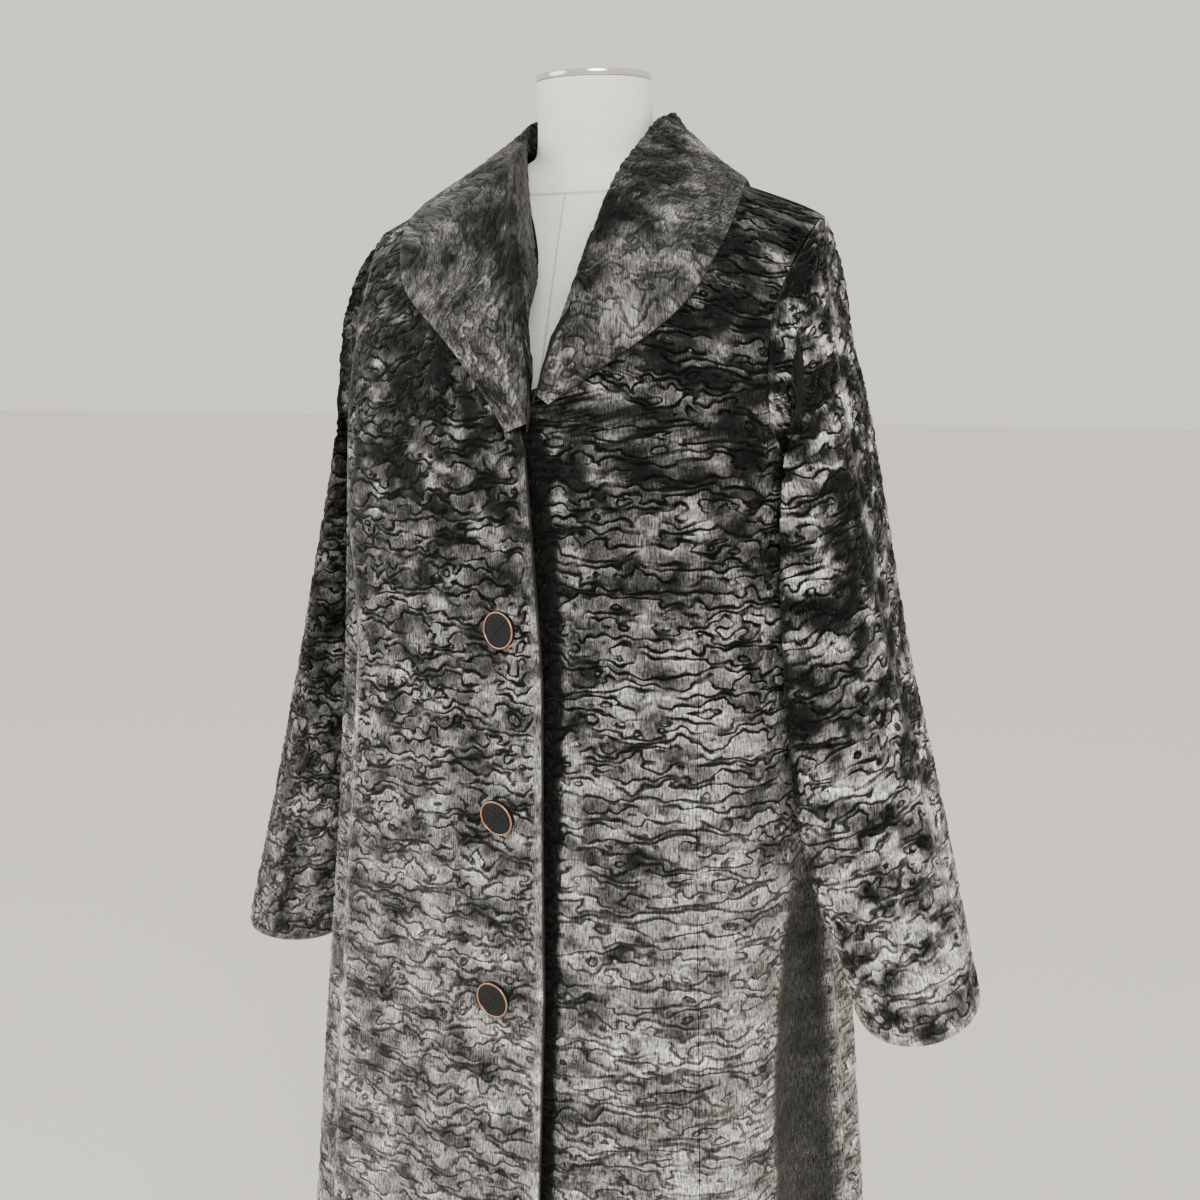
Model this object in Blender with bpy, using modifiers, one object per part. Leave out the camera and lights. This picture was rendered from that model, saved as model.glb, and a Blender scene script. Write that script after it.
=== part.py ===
"""Velvet coat worn on a limbless dress form that stands on a round base.

Metres, +Z up.  The coat's front faces -Y, its left (the wearer's left) is +X, and
the origin is on the floor, under the middle of the stand.

The cloth follows one body surface.  body_point() gives it from two numbers: the
angle round the body (0 in front, 90 degrees at the wearer's left side) and the
height.  Each panel that a maker would cut is a patch of that surface between two
edge lines, with a wall of its own, and the panels stop just short of each other
at their seams.  The sleeves, the collar and the buttons start from points of the
same surface, moved out.
"""
import bpy
import numpy as np
from math import radians, pi
from mathutils import Matrix, Vector

# ---------------------------------------------------------------- driving sizes
CLOTH = 0.0035          # plush with its backing
COLLAR_CLOTH = 0.0050   # two layers, turned at the edge
SEAM_GAP = 0.0005       # between two panels that are sewn together
HALF_SEAM = 0.5 * SEAM_GAP
SEAM_TURN = HALF_SEAM / 0.19     # the same half gap as an angle round the body
BACK_NECK_DROP = 0.012           # the back neckline dips below the shoulder seams' line

HEM_Z = 0.310
BREAK_Z = {"left": 1.250, "right": 1.224}    # where each front turns into its neckline
UNDERARM_Z = 1.165

NECK_POINT = (0.070, 1.432)      # x, z where the shoulder seam meets the neckline
SHOULDER_TIP = (0.203, 1.380)    # x, z at the sleeve's top
SHOULDER_ROUND = 0.170           # height over which the shoulder rounds off in front
BACK_ROUND = 0.095               # and behind, where the upper back is fuller

FRONT_EDGE_TOP = 0.0145          # x of the lapping front's edge at the break
FRONT_EDGE_BEND = (0.0355, 1.020)    # x and z where it straightens
FRONT_EDGE_LOW = 0.046           # and from the last button down
UNDER_LAP_X = -0.034             # x of the front edge that lies underneath
LAP_RISE = CLOTH + 0.0016        # how far the lapping front stands over the other
LAP_START_X = -0.100             # where it starts to come up
LAP_RAMP = 0.045                 # and the width over which it does
NECKLINE_X = {"left": (0.052, 0.078), "right": (0.010, -0.078)}    # at the break, at the neck
NECKLINE_BEND = {"left": 1.15, "right": 1.80}
BREAK_BEND = 0.026               # height over which the edge turns into the neckline

# Sections of the coat's body, from the hem up.
BODY_COLUMNS = ("z", "half_width", "front", "back", "squareness", "centre_y")
BODY_SECTIONS = (
    (0.310, 0.262, 0.186, 0.170, 2.7, -0.006),
    (0.500, 0.243, 0.176, 0.160, 2.8, -0.006),
    (0.690, 0.227, 0.168, 0.152, 2.9, -0.006),
    (0.860, 0.212, 0.162, 0.146, 3.0, -0.004),
    (1.040, 0.206, 0.155, 0.140, 3.0, 0.000),
    (1.165, 0.207, 0.152, 0.134, 2.8, 0.000),
    (1.250, 0.210, 0.150, 0.126, 2.5, 0.000),
    (1.340, 0.213, 0.140, 0.116, 2.3, 0.000),
    (1.460, 0.216, 0.120, 0.104, 2.2, 0.000),
)

# Hanging folds of the skirt: where they are, how wide, how deep, and where they start.
FOLD_COLUMNS = ("angle", "width", "depth", "start_z", "full_z")
FOLDS = (
    (76.0, 11.0, -0.016, 0.98, 0.66),
    (95.0, 12.0, 0.016, 1.00, 0.72),
    (-80.0, 12.0, -0.012, 0.96, 0.60),
    (-97.0, 13.0, -0.005, 0.98, 0.70),
    (128.0, 12.0, -0.012, 0.98, 0.50),
    (152.0, 12.0, 0.008, 0.90, 0.45),
    (-126.0, 12.0, -0.012, 0.98, 0.50),
    (-154.0, 12.0, 0.008, 0.90, 0.45),
    (180.0, 11.0, -0.009, 0.95, 0.50),
    (36.0, 12.0, -0.005, 0.80, 0.45),
    (-34.0, 11.0, -0.006, 0.84, 0.45),
)

# Front line of the armhole, from the underarm to the shoulder tip.
ARMHOLE_COLUMNS = ("z", "x")
ARMHOLE = (
    (1.165, 0.2070),
    (1.185, 0.2000),
    (1.215, 0.1920),
    (1.255, 0.1870),
    (1.300, 0.1865),
    (1.338, 0.1920),
    (1.380, 0.2030),
)
PRINCESS_COLUMNS = ("z", "angle")
PRINCESS = (
    (0.310, 50.0),
    (0.690, 50.0),
    (1.040, 50.0),
    (1.215, 52.0),
)
PRINCESS_BEND_Z = 1.040
PRINCESS_TOP_Z = 1.2274      # on the armhole, where the shoulder starts to round

# One sleeve: the overarm line, the underarm line, and the section's middle and depth.
SLEEVE_COLUMNS = ("over_x", "over_z", "under_x", "under_z", "mid_y", "half_depth")
SLEEVE_SECTIONS = (
    (0.2070, 1.3640, 0.2090, 1.1560, -0.002, 0.069),
    (0.2110, 1.3390, 0.2100, 1.1350, -0.004, 0.066),
    (0.2170, 1.3050, 0.2110, 1.1080, -0.007, 0.064),
    (0.2270, 1.2620, 0.2120, 1.0820, -0.010, 0.063),
    (0.2400, 1.2040, 0.2130, 1.0480, -0.014, 0.062),
    (0.2590, 1.1240, 0.2135, 1.0100, -0.018, 0.061),
    (0.2760, 1.0420, 0.2130, 0.9680, -0.021, 0.060),
    (0.2930, 0.9640, 0.2140, 0.9160, -0.024, 0.058),
    (0.3080, 0.8930, 0.2190, 0.8620, -0.026, 0.055),
    (0.3230, 0.8300, 0.2290, 0.8120, -0.028, 0.052),
    (0.3370, 0.7730, 0.2440, 0.7640, -0.030, 0.048),
)
SLEEVE_DROP = {"left": 0.0, "right": 0.033}    # the right sleeve hangs a little lower
SLEEVE_SWING = {"left": -0.024, "right": 0.004}    # and the left one further forward
SLEEVE_SPREAD = {"left": 0.002, "right": -0.006}    # and a little further out
SLEEVE_LEAN = {"left": 0.020, "right": 0.0}    # its front edge is turned in to the body
CUFF_SPREAD = {"left": 0.021, "right": 0.010}    # each goes out more at the cuff
CUFF_DIP = {"left": 0.016, "right": 0.004}    # a cuff's front hangs below its back

# The shawl collar's halves, from the centre back to the break.  roll_x and edge_x are
# measured towards each half's own side; the lapping half runs past the middle.
# edge_turn is where its edge lies over the shoulder: 90 degrees behind, 0 on top of the
# seam, -90 in front, and further down the straight front past that.
COLLAR_COLUMNS = ("roll_x", "roll_y", "roll_z", "edge_x", "edge_turn", "stand", "puff")
COLLAR_BEHIND = (
    (0.0000, 0.0800, 1.4700, 0.0000, 77.0, 0.049, 0.006),
    (0.0360, 0.0690, 1.4720, 0.0760, 63.0, 0.044, 0.005),
    (0.0590, 0.0340, 1.4740, 0.1190, 43.0, 0.040, 0.001),
)
COLLAR_IN_FRONT = {
    "left": (
        (0.0620, 0.0100, 1.4690, 0.1340, 8.0, 0.029, -0.003),
        (0.0570, -0.0150, 1.4560, 0.1500, -28.0, 0.021, -0.002),
        (0.0570, -0.0580, 1.4080, 0.1460, -51.0, 0.018, 0.004),
        (0.0570, -0.1010, 1.3500, 0.1310, -68.0, 0.014, 0.006),
        (0.0460, -0.1350, 1.2960, 0.0950, -84.0, 0.010, 0.004),
        (0.0275, -0.1600, 1.2380, 0.0380, -104.0, 0.006, 0.001),
    ),
    "right": (
        (0.0620, 0.0100, 1.4690, 0.1340, 8.0, 0.029, -0.003),
        (0.0560, -0.0150, 1.4560, 0.1490, -28.0, 0.016, -0.002),
        (0.0310, -0.0590, 1.4080, 0.1310, -51.0, 0.013, 0.004),
        (0.0020, -0.1010, 1.3500, 0.1040, -68.0, 0.014, 0.006),
        (-0.0240, -0.1350, 1.2850, 0.0480, -88.0, 0.010, 0.004),
        (-0.0240, -0.1600, 1.2160, -0.0060, -115.0, 0.006, 0.001),
    ),
}
COLLAR_CLEAR = COLLAR_CLOTH + 0.0028    # outer face of the fall over the panels
COLLAR_LAP_RISE = LAP_RISE + 0.0018    # the lapping half lies over the other one's end

BUTTON_COLUMNS = ("x", "z", "yaw", "pitch")
BUTTONS = (
    (0.0050, 1.0580, -12.0, 3.0),
    (0.0070, 0.9130, -7.0, 14.0),
    (0.0080, 0.7670, -8.0, 9.0),
)
BUTTON_RADIUS = 0.0150
BUTTON_THICKNESS = 0.0044
BUTTON_STAND = 0.0062
SHANK_RADIUS = 0.0030

# Dress form: torso sections from the bottom up, then the neck.
FORM_COLUMNS = ("z", "half_width", "front", "back", "squareness")
FORM_SECTIONS = (
    (0.760, 0.165, 0.110, 0.112, 2.2),
    (0.860, 0.170, 0.112, 0.114, 2.2),
    (0.990, 0.132, 0.092, 0.084, 2.1),
    (1.120, 0.152, 0.122, 0.098, 2.1),
    (1.220, 0.165, 0.108, 0.102, 2.2),
    (1.320, 0.176, 0.082, 0.096, 2.3),
    (1.460, 0.182, 0.070, 0.090, 2.3),
)
FORM_BOTTOM_Z = 0.760
FORM_SHOULDER_END = 0.172
FORM_CLEARANCE = 0.0006      # between the form's shoulders and the coat
NECK_BASE_Z = 1.402
NECK_TOP_Z = 1.4965
NECK_RADIUS = 0.0475
NECK_FLARE = 0.006
NECK_BLEND = 0.006
CAP_RADIUS = 0.0485
CAP_TILT = radians(4.0)
NECK_BASE_SHIFT = 0.013      # the neck leans forward from here
POLE_RADIUS = 0.0140
BASE_RADIUS = 0.1750
BASE_HEIGHT = 0.0140
BASE_HUB_RADIUS = 0.0260
BASE_HUB_HEIGHT = 0.0500

# Mesh densities
FRONT_STEPS = 9
SIDE_STEPS = 4
BACK_STEPS = 20
LOWER_ROWS = 13
SHOULDER_ROWS = 8
SLEEVE_STEPS = 9
COLLAR_ROWS = 24

COATS = bpy.data.collections.new("velvet_coat_on_form")


# ---------------------------------------------------------------- tables and curves
def smooth_rows(known, values, wanted):
    """Cubic curve through a table's rows: each row's slope is that of its neighbours."""
    known = np.asarray(known, float)
    values = np.asarray(values, float)
    wanted = np.clip(np.asarray(wanted, float), known[0], known[-1])
    slopes = np.gradient(values, known)
    low = np.clip(np.searchsorted(known, wanted, side="right") - 1, 0, len(known) - 2)
    span = known[low + 1] - known[low]
    t = (wanted - known[low]) / span
    start = (2 * t**3 - 3 * t**2 + 1) * values[low] + (t**3 - 2 * t**2 + t) * span * slopes[low]
    finish = (3 * t**2 - 2 * t**3) * values[low + 1] + (t**3 - t**2) * span * slopes[low + 1]
    return start + finish


def column(table, names, wanted_name, wanted, key="z"):
    rows = np.array(table)
    return smooth_rows(rows[:, names.index(key)], rows[:, names.index(wanted_name)], wanted)


def ease(value):
    """0 below 0, 1 above 1, and a soft S between them."""
    t = np.clip(value, 0.0, 1.0)
    return t * t * (3.0 - 2.0 * t)


def shoulder_height(x):
    """Height of the shoulder seam at x, a straight slope from neck point to tip."""
    (x0, z0), (x1, z1) = NECK_POINT, SHOULDER_TIP
    return z0 + (np.abs(x) - x0) * (z1 - z0) / (x1 - x0)


# ---------------------------------------------------------------- the body surface
def fold_offset(angle, z):
    """How far the skirt's hanging folds move the cloth in or out."""
    total = np.zeros(np.broadcast(angle, z).shape)
    for row in FOLDS:
        fold = dict(zip(FOLD_COLUMNS, row))
        turn = np.degrees(angle) - fold["angle"]
        turn = (turn + 180.0) % 360.0 - 180.0
        strength = ease((fold["start_z"] - z) / (fold["start_z"] - fold["full_z"]))
        total = total + fold["depth"] * strength * np.exp(-(turn / fold["width"]) ** 2)
    return total


def body_point(angle, z):
    """Coat's outer surface at an angle round the body and a height."""
    angle, z = np.broadcast_arrays(np.asarray(angle, float), np.asarray(z, float))
    half_width = column(BODY_SECTIONS, BODY_COLUMNS, "half_width", z)
    front = column(BODY_SECTIONS, BODY_COLUMNS, "front", z)
    back = column(BODY_SECTIONS, BODY_COLUMNS, "back", z)
    square = column(BODY_SECTIONS, BODY_COLUMNS, "squareness", z)
    centre = column(BODY_SECTIONS, BODY_COLUMNS, "centre_y", z)
    sine, cosine = np.sin(angle), np.cos(angle)
    depth = np.where(cosine > 0.0, front, back)
    reach = ((np.abs(sine) / half_width) ** square
             + (np.abs(cosine) / depth) ** square) ** (-1.0 / square)
    reach = reach + fold_offset(angle, z)
    x = reach * sine
    rounding = np.where(cosine > 0.0, SHOULDER_ROUND, BACK_ROUND)
    below = np.clip((shoulder_height(x) - z) / rounding, 0.0, 1.0)
    y = -reach * cosine * np.sqrt(1.0 - (1.0 - below) ** 2)
    return np.stack([x, y + centre, z], axis=-1)


def angle_at(x, z, back=False):
    """Angle whose surface point lies at x, found by halving."""
    x, z = np.broadcast_arrays(np.asarray(x, float), np.asarray(z, float))
    low = np.full(x.shape, -pi / 2)
    high = np.full(x.shape, pi / 2)
    for _ in range(40):
        middle = 0.5 * (low + high)
        seen = pi - middle if back else middle
        short = body_point(seen, z)[..., 0] < x
        low = np.where(short, middle, low)
        high = np.where(short, high, middle)
    middle = 0.5 * (low + high)
    return pi - middle if back else middle


def row_height(row, x):
    """Height of a cloth row: straight up to the shoulder's rounding, then round it.

    row runs from 0 at the hem to 1 where the shoulder starts to round, and to 2 at
    the shoulder seam."""
    top = shoulder_height(x)
    start = top - SHOULDER_ROUND
    lower = HEM_Z + np.clip(row, 0.0, 1.0) * (start - HEM_Z)
    turn = (2.0 - np.clip(row, 1.0, 2.0)) * pi / 2
    upper = top - SHOULDER_ROUND * (1.0 - np.cos(turn))
    return np.where(row <= 1.0, lower, upper)


def grid_normals(points):
    """Outward unit normals of a grid whose first axis goes up and second goes round."""
    up = np.gradient(points, axis=0)
    across = np.gradient(points, axis=1)
    normals = np.cross(across, up)
    return normals / np.linalg.norm(normals, axis=-1, keepdims=True)


# ---------------------------------------------------------------- meshes
def material(name, colour, roughness, metallic=0.0):
    made = bpy.data.materials.new(name)
    made.use_nodes = True
    shader = made.node_tree.nodes["Principled BSDF"]
    shader.inputs["Base Color"].default_value = (*colour, 1.0)
    shader.inputs["Roughness"].default_value = roughness
    shader.inputs["Metallic"].default_value = metallic
    return made


def add_object(name, mesh, finish):
    made = bpy.data.objects.new(name, mesh)
    mesh.materials.append(finish)
    COATS.objects.link(made)
    return made


def wall(name, outer, inner, finish):
    """Closed wall between two grids of the same shape, with its four edges."""
    rows, steps = outer.shape[:2]
    points = np.concatenate([outer.reshape(-1, 3), inner.reshape(-1, 3)])
    shift = rows * steps

    def at(i, j, layer):
        return i * steps + j + layer * shift

    faces = []
    for i in range(rows - 1):
        for j in range(steps - 1):
            for ring in (((i, j), (i, j + 1), (i + 1, j + 1)), ((i, j), (i + 1, j + 1), (i + 1, j))):
                faces.append([at(a, b, 0) for a, b in ring])
                faces.append([at(a, b, 1) for a, b in reversed(ring)])
    rim = [(0, j) for j in range(steps)] + [(i, steps - 1) for i in range(1, rows)]
    rim += [(rows - 1, j) for j in range(steps - 2, -1, -1)]
    rim += [(i, 0) for i in range(rows - 2, 0, -1)]
    for (a, b), (c, d) in zip(rim, rim[1:] + rim[:1]):
        faces.append([at(c, d, 0), at(a, b, 0), at(a, b, 1)])
        faces.append([at(c, d, 0), at(a, b, 1), at(c, d, 1)])
    mesh = bpy.data.meshes.new(name)
    mesh.from_pydata(points.tolist(), [], faces)
    mesh.shade_smooth()
    mesh.set_sharp_from_angle(angle=radians(50))
    return add_object(name, mesh, finish)


def turned(name, profile, finish, steps=32):
    """Screw a profile of (radius, height) pairs, listed from the top down."""
    mesh = bpy.data.meshes.new(name)
    points = [(radius, 0.0, height) for radius, height in profile]
    mesh.from_pydata(points, [(i, i + 1) for i in range(len(points) - 1)], [])
    made = add_object(name, mesh, finish)
    screw = made.modifiers.new("turn", "SCREW")
    screw.axis = "Z"
    screw.steps = steps
    screw.render_steps = steps
    screw.use_merge_vertices = True
    screw.merge_threshold = 0.00005
    screw.use_smooth_shade = True
    return made


# ---------------------------------------------------------------- coat panels
def lapped(points):
    """Move the lapping front out where it lies over the other one."""
    ramp = ease((points[..., 0] - LAP_START_X) / LAP_RAMP)
    moved = points.copy()
    moved[..., 1] -= LAP_RISE * ramp
    return moved


def body_normals(angles, heights, shape):
    """Outward directions of the whole body surface, the same for two panels at a seam."""
    turn, rise = 0.01, 0.004
    across = shape(body_point(angles + turn, heights)) - shape(body_point(angles - turn, heights))
    up = shape(body_point(angles, heights)) - shape(body_point(angles, heights - rise))
    normals = np.cross(across, up)
    return normals / np.linalg.norm(normals, axis=-1, keepdims=True)


def unlapped(points):
    return points


def panel(name, angles, heights, finish, shape=unlapped, ridge_y=None):
    """One cut panel: a patch of the body surface with its wall behind it.

    ridge_y is where its shoulder seam lies."""
    outer = shape(body_point(angles, heights))
    inner = outer - CLOTH * body_normals(angles, heights, shape)
    if ridge_y is not None:
        outer[-1, :, 1] = ridge_y
        inner[-1] = outer[-1] - (0.0, 0.0, CLOTH)
    return wall(name, outer, inner, finish)


def panel_rows():
    lower = np.linspace(0.0, 1.0, LOWER_ROWS)
    return np.concatenate([lower, np.linspace(1.0, 2.0, SHOULDER_ROWS)[1:]])


def armhole_x(z):
    return column(ARMHOLE, ARMHOLE_COLUMNS, "x", z)


def princess_angle(z):
    """The princess seam runs up the front and ends on the armhole."""
    lower = np.radians(column(PRINCESS, PRINCESS_COLUMNS, "angle", z))
    at_top = angle_at(armhole_x(PRINCESS_TOP_Z), PRINCESS_TOP_Z)
    share = ease((z - PRINCESS_BEND_Z) / (PRINCESS_TOP_Z - PRINCESS_BEND_Z))
    return lower + share * (at_top - lower)


def row_crossing(rows, line_x):
    """Heights and x where each cloth row meets a line given as x over height."""
    x = np.full(rows.shape, SHOULDER_TIP[0])
    for _ in range(30):
        z = row_height(rows, x)
        x = line_x(z)
    return z, x


def front_edge_x(z, laps):
    """The front's edge up to the break, then the neckline up to the neck point."""
    word = "right" if laps else "left"
    turn_z = BREAK_Z[word]
    if laps:
        bend_x, bend_z = FRONT_EDGE_BEND
        edge = np.interp(z, (BUTTONS[2][1], bend_z, turn_z),
                         (FRONT_EDGE_LOW, bend_x, FRONT_EDGE_TOP))
    else:
        edge = np.full(np.shape(z), UNDER_LAP_X)
    start, finish = NECKLINE_X[word]
    rise = np.clip((z - turn_z) / (NECK_POINT[1] - turn_z), 0.0, 1.0)
    neckline = start + (finish - start) * rise ** NECKLINE_BEND[word]
    return edge + (neckline - edge) * ease((z - turn_z + BREAK_BEND) / BREAK_BEND)


def front_panel(name, laps, finish):
    """Front from its edge and the neckline to the princess seam and the armhole.

    The lapping front is the wearer's right one, so its outer side is at -X."""
    rows = panel_rows()
    side = -1.0 if laps else 1.0
    inner_z, inner_x = row_crossing(rows, lambda z: front_edge_x(z, laps))

    def outer_line(z):
        seam = body_point(princess_angle(z) - SEAM_TURN, z)[..., 0]
        return np.where(z < PRINCESS_TOP_Z, seam, armhole_x(np.maximum(z, PRINCESS_TOP_Z)))

    outer_z, outer_x = row_crossing(rows, outer_line)
    low = rows <= 1.0
    outer_z[low] = HEM_Z + rows[low] * (PRINCESS_TOP_Z - HEM_Z)
    outer_x = outer_line(outer_z)
    inner = angle_at(inner_x, inner_z)
    outer = side * angle_at(outer_x, outer_z)
    across = np.linspace(0.0, 1.0, FRONT_STEPS + 1)
    start, finish_line = (outer, inner) if laps else (inner, outer)
    start_z, finish_z = (outer_z, inner_z) if laps else (inner_z, outer_z)
    angles = start[:, None] * (1 - across) + finish_line[:, None] * across
    heights = start_z[:, None] * (1 - across) + finish_z[:, None] * across
    return panel(name, angles, heights, finish, lapped if laps else unlapped, -HALF_SEAM)


def side_panel(name, side, finish):
    """Panel under the arm, from the princess seam to the side seam."""
    across = np.linspace(0.0, 1.0, SIDE_STEPS + 1)
    up = np.linspace(0.0, 1.0, LOWER_ROWS)[:, None]
    top = PRINCESS_TOP_Z + (UNDERARM_Z - PRINCESS_TOP_Z) * across**0.7
    heights = HEM_Z + up * (top - HEM_Z)
    first = princess_angle(heights[:, :1]) + SEAM_TURN
    last = pi / 2 - SEAM_TURN
    angles = first + (last - first) * across
    armhole = np.minimum(angle_at(armhole_x(top), top) + SEAM_TURN, last)
    angles = angles + ease((up - 0.6) / 0.4) * (armhole - angles[-1:])
    if side < 0:
        angles, heights = -angles[:, ::-1], heights[:, ::-1]
    return panel(name, angles, heights, finish)


def back_panel(name, finish):
    """Back in one piece: side seams, armholes, shoulder seams and the back neck."""
    rows = panel_rows()

    def outer_line(z):
        side = body_point(pi / 2 + SEAM_TURN, z)[..., 0]
        return np.where(z < UNDERARM_Z, side, armhole_x(np.maximum(z, UNDERARM_Z)))

    outer_z, outer_x = row_crossing(rows, outer_line)
    low = outer_z < UNDERARM_Z
    edge = np.where(low, pi / 2 + SEAM_TURN, angle_at(outer_x, outer_z, back=True))
    across = np.linspace(1.0, -1.0, BACK_STEPS + 1)
    angles = pi - (pi - edge[:, None]) * across
    x = np.abs(body_point(angles, outer_z[:, None])[..., 0])
    heights = row_height(rows[:, None], np.maximum(x, NECK_POINT[0]))
    dip = ease(1.0 - x / NECK_POINT[0]) * np.clip(rows[:, None] - 1.0, 0.0, 1.0) ** 2
    heights = heights - BACK_NECK_DROP * dip
    outer_share = ease((x - NECK_POINT[0] + 0.012) / 0.012)
    return back_wall(name, angles, heights, outer_share[-1], finish)


def back_wall(name, angles, heights, on_shoulder, finish):
    """Wall of the back; its last row lies on the seam only over the shoulders."""
    outer = body_point(angles, heights)
    normals = body_normals(angles, heights, unlapped)
    upright = np.array([0.0, 0.0, 1.0])
    normals[-1] += on_shoulder[:, None] * (upright - normals[-1])
    normals[-1] /= np.linalg.norm(normals[-1], axis=-1, keepdims=True)
    outer[-1, :, 1] = np.maximum(outer[-1, :, 1], HALF_SEAM)
    return wall(name, outer, outer - CLOTH * normals, finish)


# ---------------------------------------------------------------- sleeves
def armhole_ring(turn):
    """Points of the armhole on the body surface; turn 0 is the tip, pi the underarm."""
    share = 0.5 * (1.0 - np.cos(turn))
    z = SHOULDER_TIP[1] + (UNDERARM_Z - SHOULDER_TIP[1]) * share
    x = armhole_x(z)
    front = body_point(angle_at(x, z), z)
    back = body_point(angle_at(x, z, back=True), z)
    return np.where((np.sin(turn) >= 0.0)[:, None], front, back)


def sleeve_rings(turn, word):
    """Outer points and outward directions of a left sleeve's rings."""
    first = armhole_ring(turn) + np.array([0.0008, 0.0, 0.0])
    radial = np.stack([0 * turn, -np.sin(turn), np.cos(turn)], axis=-1)
    rings, outward = [first], [radial]
    for index, row in enumerate(SLEEVE_SECTIONS):
        at = dict(zip(SLEEVE_COLUMNS, row))
        fall = SLEEVE_DROP[word] * ((index + 1) / len(SLEEVE_SECTIONS)) ** 1.2
        over = np.array([at["over_x"], 0.0, at["over_z"] - fall])
        under = np.array([at["under_x"], 0.0, at["under_z"] - fall])
        ahead_y = at["mid_y"] + SLEEVE_SWING[word] * ease((index + 1) / 6.0)
        at_cuff = ease((index - 5) / 5.0)
        out_x = SLEEVE_SPREAD[word] * ease(index / 5.0) + CUFF_SPREAD[word] * at_cuff
        middle = 0.5 * (over + under) + np.array([out_x, ahead_y, 0.0])
        half = 0.5 * (over - under)
        lean = SLEEVE_LEAN[word] * (ease(index / 4.0) - ease((index - 7) / 3.0))
        ahead = np.array([-lean, -at["half_depth"], -CUFF_DIP[word] * at_cuff])
        ring = middle + np.cos(turn)[:, None] * half + np.sin(turn)[:, None] * ahead
        long_way, cross_way = np.linalg.norm(half), at["half_depth"]
        normal = (np.cos(turn)[:, None] * half / long_way**2
                  + np.sin(turn)[:, None] * ahead / cross_way**2)
        rings.append(ring)
        outward.append(normal / np.linalg.norm(normal, axis=-1, keepdims=True))
    return np.array(rings), np.array(outward)


def sleeve_half(name, side, half, finish):
    """Front or back half of a sleeve, between the overarm and the underarm seam."""
    slip = 0.0045
    turn = np.linspace(slip, pi - slip, SLEEVE_STEPS + 1)
    if half == "back":
        turn = turn - pi
    word = "left" if side > 0 else "right"
    outer, outward = sleeve_rings(turn, word)
    inner = outer - CLOTH * outward
    if side < 0:
        outer, inner = outer * (-1, 1, 1), inner * (-1, 1, 1)
    else:
        outer, inner = outer[:, ::-1], inner[:, ::-1]
    return wall(name, outer[::-1], inner[::-1], finish)


# ---------------------------------------------------------------- collar
def panel_depth(x, z, behind):
    """How far the body reaches forward or back at x, before the shoulder rounds it."""
    half_width = column(BODY_SECTIONS, BODY_COLUMNS, "half_width", z)
    depth = np.where(behind, column(BODY_SECTIONS, BODY_COLUMNS, "back", z),
                     column(BODY_SECTIONS, BODY_COLUMNS, "front", z))
    square = column(BODY_SECTIONS, BODY_COLUMNS, "squareness", z)
    inside = np.clip(1.0 - (np.abs(x) / half_width) ** square, 0.0, 1.0)
    return depth * inside ** (1.0 / square)


def shoulder_arch(x, z, behind, lift):
    """The body's outline at x is a quarter ellipse over a straight wall: its centre
    height, its height and its depth, each grown by lift."""
    rounding = np.where(behind, BACK_ROUND, SHOULDER_ROUND)
    centre_z = shoulder_height(x) - rounding
    return centre_z, rounding + lift, panel_depth(x, z, behind) + lift


def on_panels(x, turn, lift):
    """Point at x that stands lift over the panels, at a turn over the shoulder."""
    behind = turn > 0.0
    z = shoulder_height(x)
    for _ in range(3):
        centre_z, high, deep = shoulder_arch(x, z, behind, lift)
        past = np.maximum(np.abs(turn) - pi / 2, 0.0)
        z = centre_z + high * (np.cos(np.minimum(np.abs(turn), pi / 2)) - past)
    y = deep * np.sin(np.clip(turn, -pi / 2, pi / 2))
    return np.stack([x, y, z], axis=-1)


def over_panels(points, laps):
    """Push points of the collar's fall out until they clear the panels below them."""
    x, y, z = points[..., 0], points[..., 1], points[..., 2]
    rise = COLLAR_LAP_RISE * ease((x - LAP_START_X) / LAP_RAMP) if laps else 0.0
    centre_z, high, deep = shoulder_arch(x, z, y > 0.0, COLLAR_CLEAR)
    deep = deep + rise
    up = np.maximum(z - centre_z, 0.0)
    share = np.sqrt((y / deep) ** 2 + (up / high) ** 2)
    grow = np.where(share < 1.0, 1.0 / np.maximum(share, 0.2), 1.0)
    return np.stack([x, y * grow, z + up * (grow - 1.0)], axis=-1)


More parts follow.
